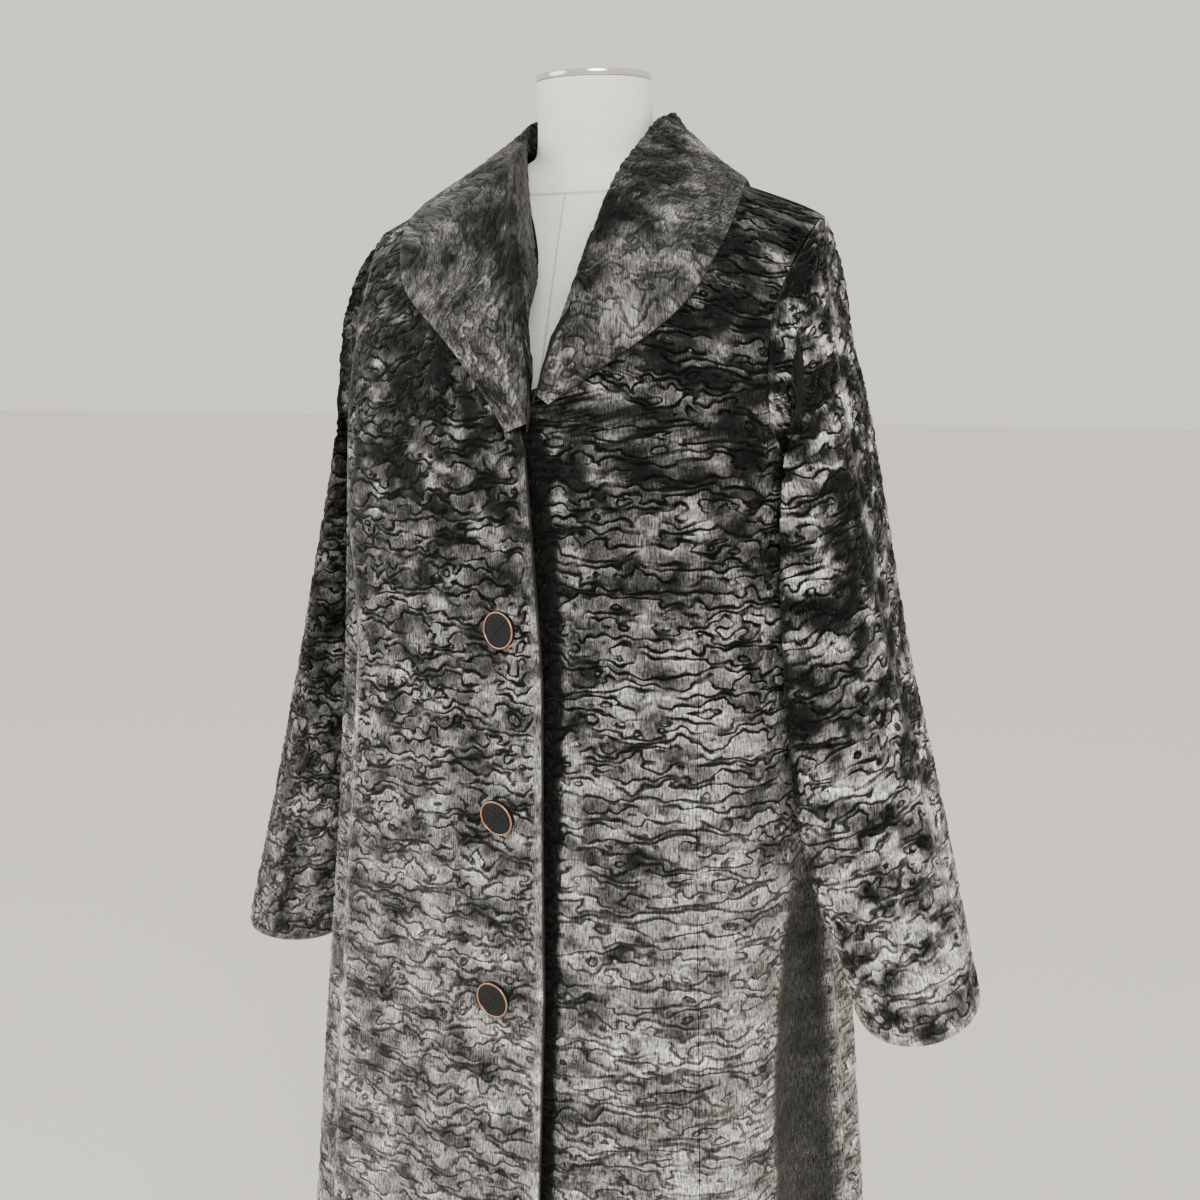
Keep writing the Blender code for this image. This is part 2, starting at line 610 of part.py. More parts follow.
def collar_half(name, side, finish):
    """Half a shawl collar: up from the neckline, over the roll, out to its edge."""
    word = "left" if side > 0 else "right"
    rows = np.array(COLLAR_BEHIND + COLLAR_IN_FRONT[word])
    place = np.arange(len(rows), dtype=float)
    along = np.linspace(0.0, len(rows) - 1.0, COLLAR_ROWS + 1)
    at = {key: smooth_rows(place, rows[:, i], along) for i, key in enumerate(COLLAR_COLUMNS)}
    roll = np.stack([at["roll_x"], at["roll_y"], at["roll_z"]], axis=-1)
    edge = on_panels(at["edge_x"], np.radians(at["edge_turn"]), COLLAR_CLEAR)
    flat = (edge - roll) * (1, 1, 0)
    flat = flat / np.linalg.norm(flat, axis=-1, keepdims=True)
    top = roll + np.array([0.0, 0.0, 1.0]) * at["puff"][:, None] * 0.3
    shoulder = 0.5 * (roll + edge) + (flat * 0.8 + (0, 0, 0.6)) * at["puff"][:, None]
    foot = roll - np.array([0, 0, 1.0]) * at["stand"][:, None] - 0.1 * flat * at["stand"][:, None]
    path = [foot, 0.5 * (foot + roll) - 0.05 * flat * at["stand"][:, None]]
    for t in np.linspace(0.0, 1.0, 7):
        path.append(((1 - t)**3 * top.T + 3 * (1 - t)**2 * t * (0.6 * top + 0.4 * shoulder).T
                     + 3 * (1 - t) * t**2 * shoulder.T + t**3 * edge.T).T)
    outer = np.array(path).transpose(1, 0, 2)
    outer[..., 0] += HALF_SEAM
    outer[..., 0] *= side
    outer[:, 2:] = over_panels(outer[:, 2:], side < 0)
    low = along > len(rows) - 2.5
    outer[low, :2] = over_panels(outer[low, :2], side < 0)
    inner = outer + side * COLLAR_CLOTH * grid_normals(outer)
    inner[0, :, 0] = outer[0, :, 0]
    for layer in (outer, inner):
        layer[:3, :, 0] = side * np.maximum(side * layer[:3, :, 0], HALF_SEAM)
    if side > 0:
        outer, inner = outer[:, ::-1], inner[:, ::-1]
    return wall(name, outer, inner, finish)


# ---------------------------------------------------------------- buttons
def button(number, row, body_finish, rim_finish):
    """Round button on a shank, turned about its own axis and seated on the front."""
    at = dict(zip(BUTTON_COLUMNS, row))
    radius, thick, stand = BUTTON_RADIUS, BUTTON_THICKNESS, BUTTON_STAND
    profile = ((0.0, stand + thick), (radius * 0.86, stand + thick * 0.96),
               (radius * 0.90, stand + thick * 0.80), (radius * 0.99, stand + thick * 0.72),
               (radius, stand + thick * 0.45), (radius * 0.90, stand),
               (SHANK_RADIUS, stand - 0.0004), (SHANK_RADIUS, 0.0), (0.0, 0.0))
    disc = turned(f"button_{number}", profile, body_finish)
    bead = 0.0011
    middle = stand + thick * 0.80 + bead + SEAM_GAP
    rim_profile = [(radius * 0.945 + bead * np.sin(a), middle + bead * np.cos(a))
                   for a in np.linspace(0.0, 2 * pi, 9)]
    rim = turned(f"button_rim_{number}", rim_profile, rim_finish)
    spot = lapped(body_point(angle_at(at["x"], at["z"]), np.array(at["z"])))
    aim = Matrix.Rotation(radians(at["yaw"]), 4, "Z") @ Matrix.Rotation(radians(90 + at["pitch"]), 4, "X")
    seat = Vector(spot) + Vector((0.0, -0.0013, 0.0))
    for piece in (disc, rim):
        piece.matrix_world = Matrix.Translation(seat) @ aim
    return disc, rim


# ---------------------------------------------------------------- dress form and stand
def form_depth(x, z, front):
    """Half depth of the form's torso at x and z, zero outside it."""
    half_width = column(FORM_SECTIONS, FORM_COLUMNS, "half_width", z)
    depth = column(FORM_SECTIONS, FORM_COLUMNS, "front" if front else "back", z)
    square = column(FORM_SECTIONS, FORM_COLUMNS, "squareness", z)
    inside = np.clip(1.0 - (np.abs(x) / half_width) ** square, 0.0, 1.0) ** (1.0 / square)
    top = shoulder_height(x) - CLOTH - FORM_CLEARANCE
    below = np.clip((top - z) / SHOULDER_ROUND, 0.0, 1.0)
    rounding = np.sqrt(1.0 - (1.0 - below) ** 2)
    return np.where(z < top, depth * inside * rounding, -1.0)


def form_reach(angle, z):
    """Distance from the axis to the torso's surface, found by halving."""
    angle, z = np.broadcast_arrays(angle, z)
    low = np.zeros(angle.shape)
    high = np.full(angle.shape, 0.30)
    for _ in range(36):
        middle = 0.5 * (low + high)
        x, y = middle * np.sin(angle), -middle * np.cos(angle)
        depth = np.where(y < 0, form_depth(x, z, True), form_depth(x, z, False))
        inside = (np.abs(y) < depth) & (np.abs(x) < FORM_SHOULDER_END)
        low = np.where(inside, middle, low)
        high = np.where(inside, high, middle)
    return low


def dress_form(finish):
    """Torso and neck in one smooth body: rings blended from torso into neck."""
    torso_z = np.concatenate([np.linspace(FORM_BOTTOM_Z, 1.30, 14), np.linspace(1.32, NECK_BASE_Z, 6)])
    neck_z = np.linspace(NECK_BASE_Z + 0.012, NECK_TOP_Z, 6)
    heights = np.concatenate([torso_z, neck_z])
    angles = np.linspace(0.0, 2 * pi, 37)[:-1]
    angle, z = np.meshgrid(angles, heights)
    rise = np.clip((z - NECK_BASE_Z) / (NECK_TOP_Z - NECK_BASE_Z), -0.4, 1.0)
    shift = NECK_BASE_SHIFT * (1.0 - rise)
    radius = NECK_RADIUS + NECK_FLARE * (1.0 - np.clip(rise, 0.0, 1.0)) ** 2
    neck = np.sqrt(radius**2 - (shift * np.sin(angle)) ** 2) - shift * np.cos(angle)
    torso = form_reach(angle, z)
    blend = NECK_BLEND * ease((z - 1.36) / 0.03)
    reach = 0.5 * (torso + neck + np.sqrt((torso - neck) ** 2 + blend**2))
    points = np.stack([reach * np.sin(angle), -reach * np.cos(angle), z], axis=-1)
    points[..., 2] += np.tan(CAP_TILT) * points[..., 1] * np.clip(rise, 0.0, 1.0)
    rows, steps = angle.shape
    faces = [list(range(steps))[::-1]]
    for i in range(rows - 1):
        for j in range(steps):
            k = (j + 1) % steps
            faces.append([i * steps + j, i * steps + k, (i + 1) * steps + k, (i + 1) * steps + j])
    faces.append([(rows - 1) * steps + j for j in range(steps)])
    mesh = bpy.data.meshes.new("form_torso")
    mesh.from_pydata(points.reshape(-1, 3).tolist(), [], faces)
    mesh.shade_smooth()
    mesh.set_sharp_from_angle(angle=radians(50))
    return add_object("form_torso", mesh, finish)


def stand(metal, wood):
    """Neck cap with its ring, the pole under the torso, and the round base."""
    cap = turned("neck_cap", ((0.0, 0.0030), (0.043, 0.0030), (0.0440, 0.0024), (0.0440, 0.0),
                              (0.0, 0.0)), wood, steps=40)
    ring = turned("neck_ring", ((0.0446, 0.0052), (CAP_RADIUS - 0.0006, 0.0052), (CAP_RADIUS, 0.0044),
                                (CAP_RADIUS, 0.0006), (CAP_RADIUS - 0.0006, 0.0), (0.0446, 0.0),
                                (0.0446, 0.0052)), metal, steps=40)
    tilt = Matrix.Rotation(CAP_TILT, 4, "X")
    for piece in (cap, ring):
        piece.matrix_world = Matrix.Translation((0.0, 0.0, NECK_TOP_Z + SEAM_GAP)) @ tilt
    turned("stand_pole", ((0.0, FORM_BOTTOM_Z - SEAM_GAP), (POLE_RADIUS, FORM_BOTTOM_Z - SEAM_GAP),
                          (POLE_RADIUS, BASE_HUB_HEIGHT + SEAM_GAP), (0.0, BASE_HUB_HEIGHT + SEAM_GAP)),
           metal, steps=24)
    turned("stand_base", ((0.0, BASE_HUB_HEIGHT), (BASE_HUB_RADIUS - 0.003, BASE_HUB_HEIGHT),
                          (BASE_HUB_RADIUS, BASE_HUB_HEIGHT - 0.003), (BASE_HUB_RADIUS, 0.026),
                          (BASE_HUB_RADIUS + 0.012, BASE_HEIGHT + 0.001),
                          (BASE_RADIUS - 0.004, BASE_HEIGHT - 0.003), (BASE_RADIUS, BASE_HEIGHT - 0.006),
                          (BASE_RADIUS, 0.0), (0.0, 0.0)), metal, steps=48)


# ---------------------------------------------------------------- the whole object
for old in list(bpy.data.objects):
    bpy.data.objects.remove(old, do_unlink=True)
bpy.context.scene.collection.children.link(COATS)

plush = material("charcoal_plush", (0.045, 0.046, 0.044), 0.75)
linen = material("natural_linen", (0.76, 0.74, 0.68), 0.85)
chrome = material("chrome", (0.70, 0.70, 0.70), 0.18, 1.0)
horn = material("dark_button", (0.012, 0.013, 0.016), 0.35)
copper = material("copper_rim", (0.62, 0.34, 0.22), 0.28, 1.0)

front_panel("front_right", True, plush)
front_panel("front_left", False, plush)
side_panel("side_front_left", 1, plush)
side_panel("side_front_right", -1, plush)
back_panel("back", plush)
for side, word in ((1, "left"), (-1, "right")):
    sleeve_half(f"sleeve_front_{word}", side, "front", plush)
    sleeve_half(f"sleeve_back_{word}", side, "back", plush)
    collar_half(f"collar_{word}", side, plush)
for number, row in enumerate(BUTTONS, start=1):
    button(number, row, horn, copper)
dress_form(linen)
stand(chrome, linen)
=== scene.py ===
# %% [markdown]
# # Velvet coat on a dress form
#
# A long coat of charcoal plush, embossed with the curls of broadtail lamb, hangs on a
# limbless linen dress form.  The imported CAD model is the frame: every piece here is
# drawn again on a finer grid from the same sizes, and gets its pile, its seams and its
# finish.  Metres throughout, +Z up, the coat's front faces -Y.

# %%
from functools import partial
from math import cos, pi, radians, sin, tan

import bpy
import numpy as np
from mathutils import Matrix, Vector


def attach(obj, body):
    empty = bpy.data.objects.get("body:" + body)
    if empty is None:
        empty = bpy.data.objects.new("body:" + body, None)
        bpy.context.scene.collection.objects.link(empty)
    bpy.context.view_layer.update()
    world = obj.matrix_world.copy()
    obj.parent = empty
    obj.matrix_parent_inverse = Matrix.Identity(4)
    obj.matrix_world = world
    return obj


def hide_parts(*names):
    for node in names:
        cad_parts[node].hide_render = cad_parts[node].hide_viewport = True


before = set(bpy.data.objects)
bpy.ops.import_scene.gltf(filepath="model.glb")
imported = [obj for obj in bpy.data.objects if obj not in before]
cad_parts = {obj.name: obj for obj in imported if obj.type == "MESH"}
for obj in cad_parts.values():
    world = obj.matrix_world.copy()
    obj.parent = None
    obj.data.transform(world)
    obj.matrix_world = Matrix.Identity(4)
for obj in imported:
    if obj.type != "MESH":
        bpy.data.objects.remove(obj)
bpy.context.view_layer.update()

# %% [markdown]
# ## Sizes
#
# The tables are those of the solids.  A row is one section, and the columns are named
# above it.  Lengths are in metres, angles in degrees.

# %%
CLOTH = 0.0035
COLLAR_CLOTH = 0.0050
SEAM_GAP = 0.0005
HALF_SEAM = 0.5 * SEAM_GAP
SEAM_TURN = HALF_SEAM / 0.19
BACK_NECK_DROP = 0.012

HEM_Z = 0.310
BREAK_Z = {"left": 1.250, "right": 1.224}
UNDERARM_Z = 1.165
NECK_POINT = (0.070, 1.432)
SHOULDER_TIP = (0.203, 1.380)
SHOULDER_ROUND = 0.170
BACK_ROUND = 0.095

FRONT_EDGE_TOP = 0.0145
FRONT_EDGE_BEND = (0.0355, 1.020)
FRONT_EDGE_LOW = 0.046
UNDER_LAP_X = -0.034
LAP_RISE = CLOTH + 0.0016
LAP_START_X = -0.100
LAP_RAMP = 0.045
NECKLINE_X = {"left": (0.052, 0.078), "right": (0.010, -0.078)}
NECKLINE_BEND = {"left": 1.15, "right": 1.80}
BREAK_BEND = 0.026

BODY_COLUMNS = ("z", "half_width", "front", "back", "squareness", "centre_y")
BODY_SECTIONS = (
    (0.310, 0.262, 0.186, 0.170, 2.7, -0.006),
    (0.500, 0.243, 0.176, 0.160, 2.8, -0.006),
    (0.690, 0.227, 0.168, 0.152, 2.9, -0.006),
    (0.860, 0.212, 0.162, 0.146, 3.0, -0.004),
    (1.040, 0.206, 0.155, 0.140, 3.0, 0.000),
    (1.165, 0.207, 0.152, 0.134, 2.8, 0.000),
    (1.250, 0.210, 0.150, 0.126, 2.5, 0.000),
    (1.340, 0.213, 0.140, 0.116, 2.3, 0.000),
    (1.460, 0.216, 0.120, 0.104, 2.2, 0.000),
)

FOLD_COLUMNS = ("angle", "width", "depth", "start_z", "full_z")
FOLDS = (
    (76.0, 11.0, -0.016, 0.98, 0.66),
    (95.0, 12.0, 0.016, 1.00, 0.72),
    (-80.0, 12.0, -0.012, 0.96, 0.60),
    (-97.0, 13.0, -0.005, 0.98, 0.70),
    (128.0, 12.0, -0.012, 0.98, 0.50),
    (152.0, 12.0, 0.008, 0.90, 0.45),
    (-126.0, 12.0, -0.012, 0.98, 0.50),
    (-154.0, 12.0, 0.008, 0.90, 0.45),
    (180.0, 11.0, -0.009, 0.95, 0.50),
    (36.0, 12.0, -0.005, 0.80, 0.45),
    (-34.0, 11.0, -0.006, 0.84, 0.45),
)

ARMHOLE_COLUMNS = ("z", "x")
ARMHOLE = (
    (1.165, 0.2070),
    (1.185, 0.2000),
    (1.215, 0.1920),
    (1.255, 0.1870),
    (1.300, 0.1865),
    (1.338, 0.1920),
    (1.380, 0.2030),
)
PRINCESS_COLUMNS = ("z", "angle")
PRINCESS = (
    (0.310, 50.0),
    (0.690, 50.0),
    (1.040, 50.0),
    (1.215, 52.0),
)
PRINCESS_BEND_Z = 1.040
PRINCESS_TOP_Z = 1.2274

SLEEVE_COLUMNS = ("over_x", "over_z", "under_x", "under_z", "mid_y", "half_depth")
SLEEVE_SECTIONS = (
    (0.207, 1.364, 0.209, 1.156, -0.002, 0.069),
    (0.211, 1.339, 0.210, 1.135, -0.004, 0.066),
    (0.217, 1.305, 0.211, 1.108, -0.007, 0.064),
    (0.227, 1.262, 0.212, 1.082, -0.010, 0.063),
    (0.240, 1.204, 0.213, 1.048, -0.014, 0.062),
    (0.259, 1.124, 0.2135, 1.010, -0.018, 0.061),
    (0.276, 1.042, 0.213, 0.968, -0.021, 0.060),
    (0.293, 0.964, 0.214, 0.916, -0.024, 0.058),
    (0.308, 0.893, 0.219, 0.862, -0.026, 0.055),
    (0.323, 0.830, 0.229, 0.812, -0.028, 0.052),
    (0.337, 0.773, 0.244, 0.764, -0.030, 0.048),
)
SLEEVE_DROP = {"left": 0.0, "right": 0.033}
SLEEVE_SWING = {"left": -0.024, "right": 0.004}
SLEEVE_SPREAD = {"left": 0.002, "right": -0.006}
SLEEVE_LEAN = {"left": 0.020, "right": 0.0}
CUFF_SPREAD = {"left": 0.021, "right": 0.010}    # further out at the cuff
CUFF_DIP = {"left": 0.016, "right": 0.004}    # front of the cuff lower than its back

COLLAR_COLUMNS = ("roll_x", "roll_y", "roll_z", "edge_x", "edge_turn", "stand", "puff")
COLLAR_BEHIND = (
    (0.0000, 0.0800, 1.4700, 0.0000, 77.0, 0.049, 0.006),
    (0.0360, 0.0690, 1.4720, 0.0760, 63.0, 0.044, 0.005),
    (0.0590, 0.0340, 1.4740, 0.1190, 43.0, 0.040, 0.001),
)
COLLAR_IN_FRONT = {
    "left": (
        (0.0620, 0.0100, 1.4690, 0.1340, 8.0, 0.029, -0.003),
        (0.0570, -0.0150, 1.4560, 0.1500, -28.0, 0.021, -0.002),
        (0.0570, -0.0580, 1.4080, 0.1460, -51.0, 0.018, 0.004),
        (0.0570, -0.1010, 1.3500, 0.1310, -68.0, 0.014, 0.006),
        (0.0460, -0.1350, 1.2960, 0.0950, -84.0, 0.010, 0.004),
        (0.0275, -0.1600, 1.2380, 0.0380, -104.0, 0.006, 0.001),
    ),
    "right": (
        (0.0620, 0.0100, 1.4690, 0.1340, 8.0, 0.029, -0.003),
        (0.0560, -0.0150, 1.4560, 0.1490, -28.0, 0.016, -0.002),
        (0.0310, -0.0590, 1.4080, 0.1310, -51.0, 0.013, 0.004),
        (0.0020, -0.1010, 1.3500, 0.1040, -68.0, 0.014, 0.006),
        (-0.0240, -0.1350, 1.2850, 0.0480, -88.0, 0.010, 0.004),
        (-0.0240, -0.1600, 1.2160, -0.0060, -115.0, 0.006, 0.001),
    ),
}
COLLAR_CLEAR = COLLAR_CLOTH + 0.0028
COLLAR_LAP_RISE = LAP_RISE + 0.0018
COLLAR_ROWS = 24

BUTTON_COLUMNS = ("x", "z", "yaw", "pitch")
BUTTONS = (
    (0.0050, 1.0580, -12.0, 3.0),
    (0.0070, 0.9130, -7.0, 14.0),
    (0.0080, 0.7670, -8.0, 9.0),
)
BUTTON_RADIUS = 0.0150
BUTTON_THICKNESS = 0.0044
BUTTON_STAND = 0.0062
SHANK_RADIUS = 0.0030
BEAD = 0.0008            # radius of the copper bead
WEAVE_PITCH = 0.0034
WEAVE_RISE = 0.00085
FACE_THICKNESS = 0.0008
CENTRE = 0.0001          # smallest ring of a turned piece, filled by one face

FORM_COLUMNS = ("z", "half_width", "front", "back", "squareness")
FORM_SECTIONS = (
    (0.760, 0.165, 0.110, 0.112, 2.2),
    (0.860, 0.170, 0.112, 0.114, 2.2),
    (0.990, 0.132, 0.092, 0.084, 2.1),
    (1.120, 0.152, 0.122, 0.098, 2.1),
    (1.220, 0.165, 0.108, 0.102, 2.2),
    (1.320, 0.176, 0.082, 0.096, 2.3),
    (1.460, 0.182, 0.070, 0.090, 2.3),
)
FORM_BOTTOM_Z = 0.760
FORM_SHOULDER_END = 0.172
FORM_CLEARANCE = 0.0006
NECK_BASE_Z = 1.402
NECK_TOP_Z = 1.4965
NECK_RADIUS = 0.0475
NECK_FLARE = 0.006
NECK_BLEND = 0.006
CAP_RADIUS = 0.0485
CAP_TILT = radians(4.0)
NECK_BASE_SHIFT = 0.013
POLE_RADIUS = 0.0140
BASE_RADIUS = 0.1750
BASE_HEIGHT = 0.0140
HUB_RADIUS = 0.0260
HUB_HEIGHT = 0.0500

FINE = 0.0023        # grid of what the photograph shows
COARSE = 0.0036      # grid of the back
LINING_STEP = 4      # the inner side has one point for so many outer ones

# Lengths along the cloth, up and across, which set how many points a grid has.
BODY_LENGTHS = (0.92, 0.24)      # hem to where the shoulder rounds, and on to its seam
FRONT_WIDTH = 0.205
SIDE_LENGTHS = (0.90, 0.135)
BACK_WIDTH = 0.58
SLEEVE_LENGTHS = (0.66, 0.215)
COLLAR_LENGTHS = (0.40, 0.17)
SLEEVE_SLIP = 0.0045             # radians that a sleeve's half stops short of its seams

# %% [markdown]
# ## Curves and noise
#
# Cubics turn the rows of a table into a smooth surface, and the pile's pattern comes from
# gradient noise, which is a formula and gives the same values each run.

# %%
def cubic(t, start, end, start_slope, end_slope):
    """Point at t, 0 to 1, of the cubic with these ends and slopes."""
    first = (2 * t**3 - 3 * t**2 + 1) * start + (t**3 - 2 * t**2 + t) * start_slope
    return first + ((3 * t**2 - 2 * t**3) * end + (t**3 - t**2) * end_slope)


def smooth_rows(known, values, wanted):
    """Cubic curve through a table's rows: each row's slope is that of its neighbours."""
    known = np.asarray(known, float)
    values = np.asarray(values, float)
    wanted = np.clip(np.asarray(wanted, float), known[0], known[-1])
    slopes = np.gradient(values, known)
    low = np.clip(np.searchsorted(known, wanted, side="right") - 1, 0, len(known) - 2)
    span = known[low + 1] - known[low]
    return cubic((wanted - known[low]) / span, values[low], values[low + 1],
                 span * slopes[low], span * slopes[low + 1])


def column(table, names, wanted_name, z):
    rows = np.array(table)
    return smooth_rows(rows[:, names.index("z")], rows[:, names.index(wanted_name)], z)


def body_size(name, z):
    return column(BODY_SECTIONS, BODY_COLUMNS, name, z)


def form_size(name, z):
    return column(FORM_SECTIONS, FORM_COLUMNS, name, z)


def ease(value):
    """0 below 0, 1 above 1, and a soft S between them."""
    t = np.clip(value, 0.0, 1.0)
    return t * t * (3.0 - 2.0 * t)


def refined(grid, count, axis):
    """More points along one axis of a grid: a cubic curve through the known ones."""
    moved = np.moveaxis(grid, axis, 0)
    known = np.arange(moved.shape[0], dtype=float)
    wanted = np.linspace(0.0, known[-1], count)
    low = np.clip(np.floor(wanted).astype(int), 0, len(known) - 2)
    slopes = np.gradient(moved, axis=0)
    t = (wanted - low).reshape((-1,) + (1,) * (moved.ndim - 1))
    made = cubic(t, moved[low], moved[low + 1], slopes[low], slopes[low + 1])
    return np.moveaxis(made, 0, axis)


def noise(x, y, seed):
    """Gradient noise from about -1 to 1: every corner of a unit grid has a random slope."""
    x0, y0 = np.floor(x), np.floor(y)
    fx, fy = x - x0, y - y0
    sx = fx**3 * (fx * (fx * 6 - 15) + 10)
    sy = fy**3 * (fy * (fy * 6 - 15) + 10)

    def corner(i, j):
        mixed = np.sin((x0 + i) * 127.1 + (y0 + j) * 311.7 + seed * 74.7) * 43758.5453
        turn = 2 * pi * (mixed - np.floor(mixed))
        return np.cos(turn) * (fx - i) + np.sin(turn) * (fy - j)

    low = corner(0, 0) * (1 - sx) + corner(1, 0) * sx
    high = corner(0, 1) * (1 - sx) + corner(1, 1) * sx
    return 1.6 * (low * (1 - sy) + high * sy)


def clouds(x, y, seed, octaves=3):
    """Noise with finer noise on top of it, each octave half as strong."""
    total = 0.0
    for octave in range(octaves):
        total = total + noise(x * 2**octave, y * 2**octave, seed + 13 * octave) / 2**octave
    return total / 1.5


def shoulder_height(x):
    (x0, z0), (x1, z1) = NECK_POINT, SHOULDER_TIP
    return z0 + (np.abs(x) - x0) * (z1 - z0) / (x1 - x0)


# %% [markdown]
# ## The body surface
#
# Every cut panel is a patch of one surface.  At a height z the coat's section is the
# curve |x / half width|^n + |y / depth|^n = 1, with n a little over 2, which is fuller
# than an ellipse.  The angle is 0 in front and 90 degrees at the wearer's left side.
# Round the shoulders the depth shrinks like a quarter circle up to the shoulder seam,
# and in the skirt each fold adds depth x exp(-(turn / width)^2) to the reach.

# %%
def fold_offset(angle, z):
    total = np.zeros(np.broadcast(angle, z).shape)
    for row in FOLDS:
        fold = dict(zip(FOLD_COLUMNS, row))
        turn = np.degrees(angle) - fold["angle"]
        turn = (turn + 180.0) % 360.0 - 180.0
        strength = ease((fold["start_z"] - z) / (fold["start_z"] - fold["full_z"]))
        total = total + fold["depth"] * strength * np.exp(-(turn / fold["width"]) ** 2)
    return total


def body_point(angle, z):
    """Coat's outer surface at an angle round the body and a height."""
    angle, z = np.broadcast_arrays(np.asarray(angle, float), np.asarray(z, float))
    square = body_size("squareness", z)
    sine, cosine = np.sin(angle), np.cos(angle)
    depth = np.where(cosine > 0.0, body_size("front", z), body_size("back", z))
    reach = ((np.abs(sine) / body_size("half_width", z)) ** square
             + (np.abs(cosine) / depth) ** square) ** (-1.0 / square)
    reach = reach + fold_offset(angle, z)
    x = reach * sine
    rounding = np.where(cosine > 0.0, SHOULDER_ROUND, BACK_ROUND)
    below = np.clip((shoulder_height(x) - z) / rounding, 0.0, 1.0)
    y = -reach * cosine * np.sqrt(1.0 - (1.0 - below) ** 2)
    return np.stack([x, y + body_size("centre_y", z), z], axis=-1)


def halved(is_short, shape, low, high):
    """Value up to which is_short holds, at every point, found by halving."""
    low, high = np.full(shape, low), np.full(shape, high)
    for _ in range(34):
        middle = 0.5 * (low + high)
        short = is_short(middle)
        low = np.where(short, middle, low)
        high = np.where(short, high, middle)
    return 0.5 * (low + high)


def angle_at(x, z, back=False):
    """Angle whose surface point lies at x."""
    x, z = np.broadcast_arrays(np.asarray(x, float), np.asarray(z, float))

    def turned_back(angle):
        return pi - angle if back else angle

    found = halved(lambda angle: body_point(turned_back(angle), z)[..., 0] < x,
                   x.shape, -pi / 2, pi / 2)
    return turned_back(found)


def row_height(row, x):
    """Height of a cloth row: 0 at the hem, 1 where the shoulder rounds, 2 at its seam."""
    top = shoulder_height(x)
    start = top - SHOULDER_ROUND
    lower = HEM_Z + np.clip(row, 0.0, 1.0) * (start - HEM_Z)
    turn = (2.0 - np.clip(row, 1.0, 2.0)) * pi / 2
    upper = top - SHOULDER_ROUND * (1.0 - np.cos(turn))
    return np.where(row <= 1.0, lower, upper)


def unlapped(points):
    """The other panels lie on the body surface itself."""
    return points


def lapped(points):
    """Move the lapping front out where it lies over the other one."""
    moved = points.copy()
    moved[..., 1] -= LAP_RISE * ease((points[..., 0] - LAP_START_X) / LAP_RAMP)
    return moved


def body_normals(angles, heights, shape):
    """Outward directions of the whole body surface, the same for two panels at a seam."""
    turn, rise = 0.01, 0.004
    across = shape(body_point(angles + turn, heights)) - shape(body_point(angles - turn, heights))
    up = shape(body_point(angles, heights)) - shape(body_point(angles, heights - rise))
    normals = np.cross(across, up)
    return normals / np.linalg.norm(normals, axis=-1, keepdims=True)


def grid_normals(points):
    """Outward unit normals of a grid whose first axis goes up and second goes round."""
    normals = np.cross(np.gradient(points, axis=1), np.gradient(points, axis=0))
    return normals / np.linalg.norm(normals, axis=-1, keepdims=True)

# %% [markdown]
# ## The pile
#
# Embossing presses the plush into narrow winding ridges with a groove between each two.
# A smooth number h runs up the cloth, one for each ridge: h = height / spacing plus
# noise, so the grooves (h whole) wander, join and close into loops where the noise is
# stronger than the rise.  A point's distance d from its groove, in millimetres, is the
# rest of h over h's steepness along the cloth, and the profile is 1 - exp(-(d / 1.6)^2).
# More noise makes grooves narrow or wide and fades them out, and they stop at seams.
# The nap's brightness is one value for a ridge and clouds over several of them.

# %%
PATTERN = {                      # each noise's size along and across the ridges, and seed
    "bend": (0.030, 0.030, 1),
    "wander": (0.034, 0.0150, 2),
    "kink": (0.0110, 0.0075, 3),
    "strength": (0.030, 0.015, 4),
    "patch": (0.048, 0.030, 5),
    "tuft": (0.011, 0.007, 7),
    "busy": (0.060, 0.045, 8),
    "width": (0.014, 0.0055, 9),
}
RIDGE_SPACING = 0.0088
GROOVE_WIDTH = 1.6               # in millimetres
RIDGE_PATCH = 0.020              # how far one ridge keeps its brightness


def winding(u, v, look):
    """Ridge number, groove strength and width, and nap at flat places u, v in metres."""
    turn = np.radians(look.get("turn", 0.0))
    along = u * np.cos(turn) + v * np.sin(turn)
    across = v * np.cos(turn) - u * np.sin(turn)
    curl = look.get("curl", 1.0)

    def layer(name, kind=clouds, **more):
        length, height, seed = PATTERN[name]
        return kind(along / length, across / height, look["seed"] + seed, **more)

    number = (across + 0.004 * layer("bend")) / RIDGE_SPACING
    number = number + 1.50 * curl * layer("wander")
    busy = ease(0.50 + 1.3 * curl * layer("busy"))
    number = number + (0.15 + 0.60 * busy) * layer("kink", noise)
    strength = ease(1.05 + 1.6 * layer("strength"))
    width = 0.95 * np.exp(0.95 * layer("width", noise))
    own = noise(along / RIDGE_PATCH, np.floor(number) * 3.7 + 0.3, look["seed"] + 6)
    nap = 0.80 * layer("patch") + 0.40 * own + 0.30 * layer("tuft", octaves=2)
    return number, strength, width, nap


def steepness(number, points):
    """Ridges per millimetre: how fast the ridge number changes over the cloth."""
    by_u, by_v = np.gradient(points, axis=1), np.gradient(points, axis=0)
    rise_u, rise_v = np.gradient(number, axis=1), np.gradient(number, axis=0)
    uu, vv, uv = [(a * b).sum(axis=-1) for a, b in ((by_u, by_u), (by_v, by_v), (by_u, by_v))]
    area = np.maximum(uu * vv - uv * uv, 1e-14)
    squared = (vv * rise_u**2 - 2.0 * uv * rise_u * rise_v + uu * rise_v**2) / area
    return np.maximum(0.001 * np.sqrt(np.maximum(squared, 0.0)), 0.02)


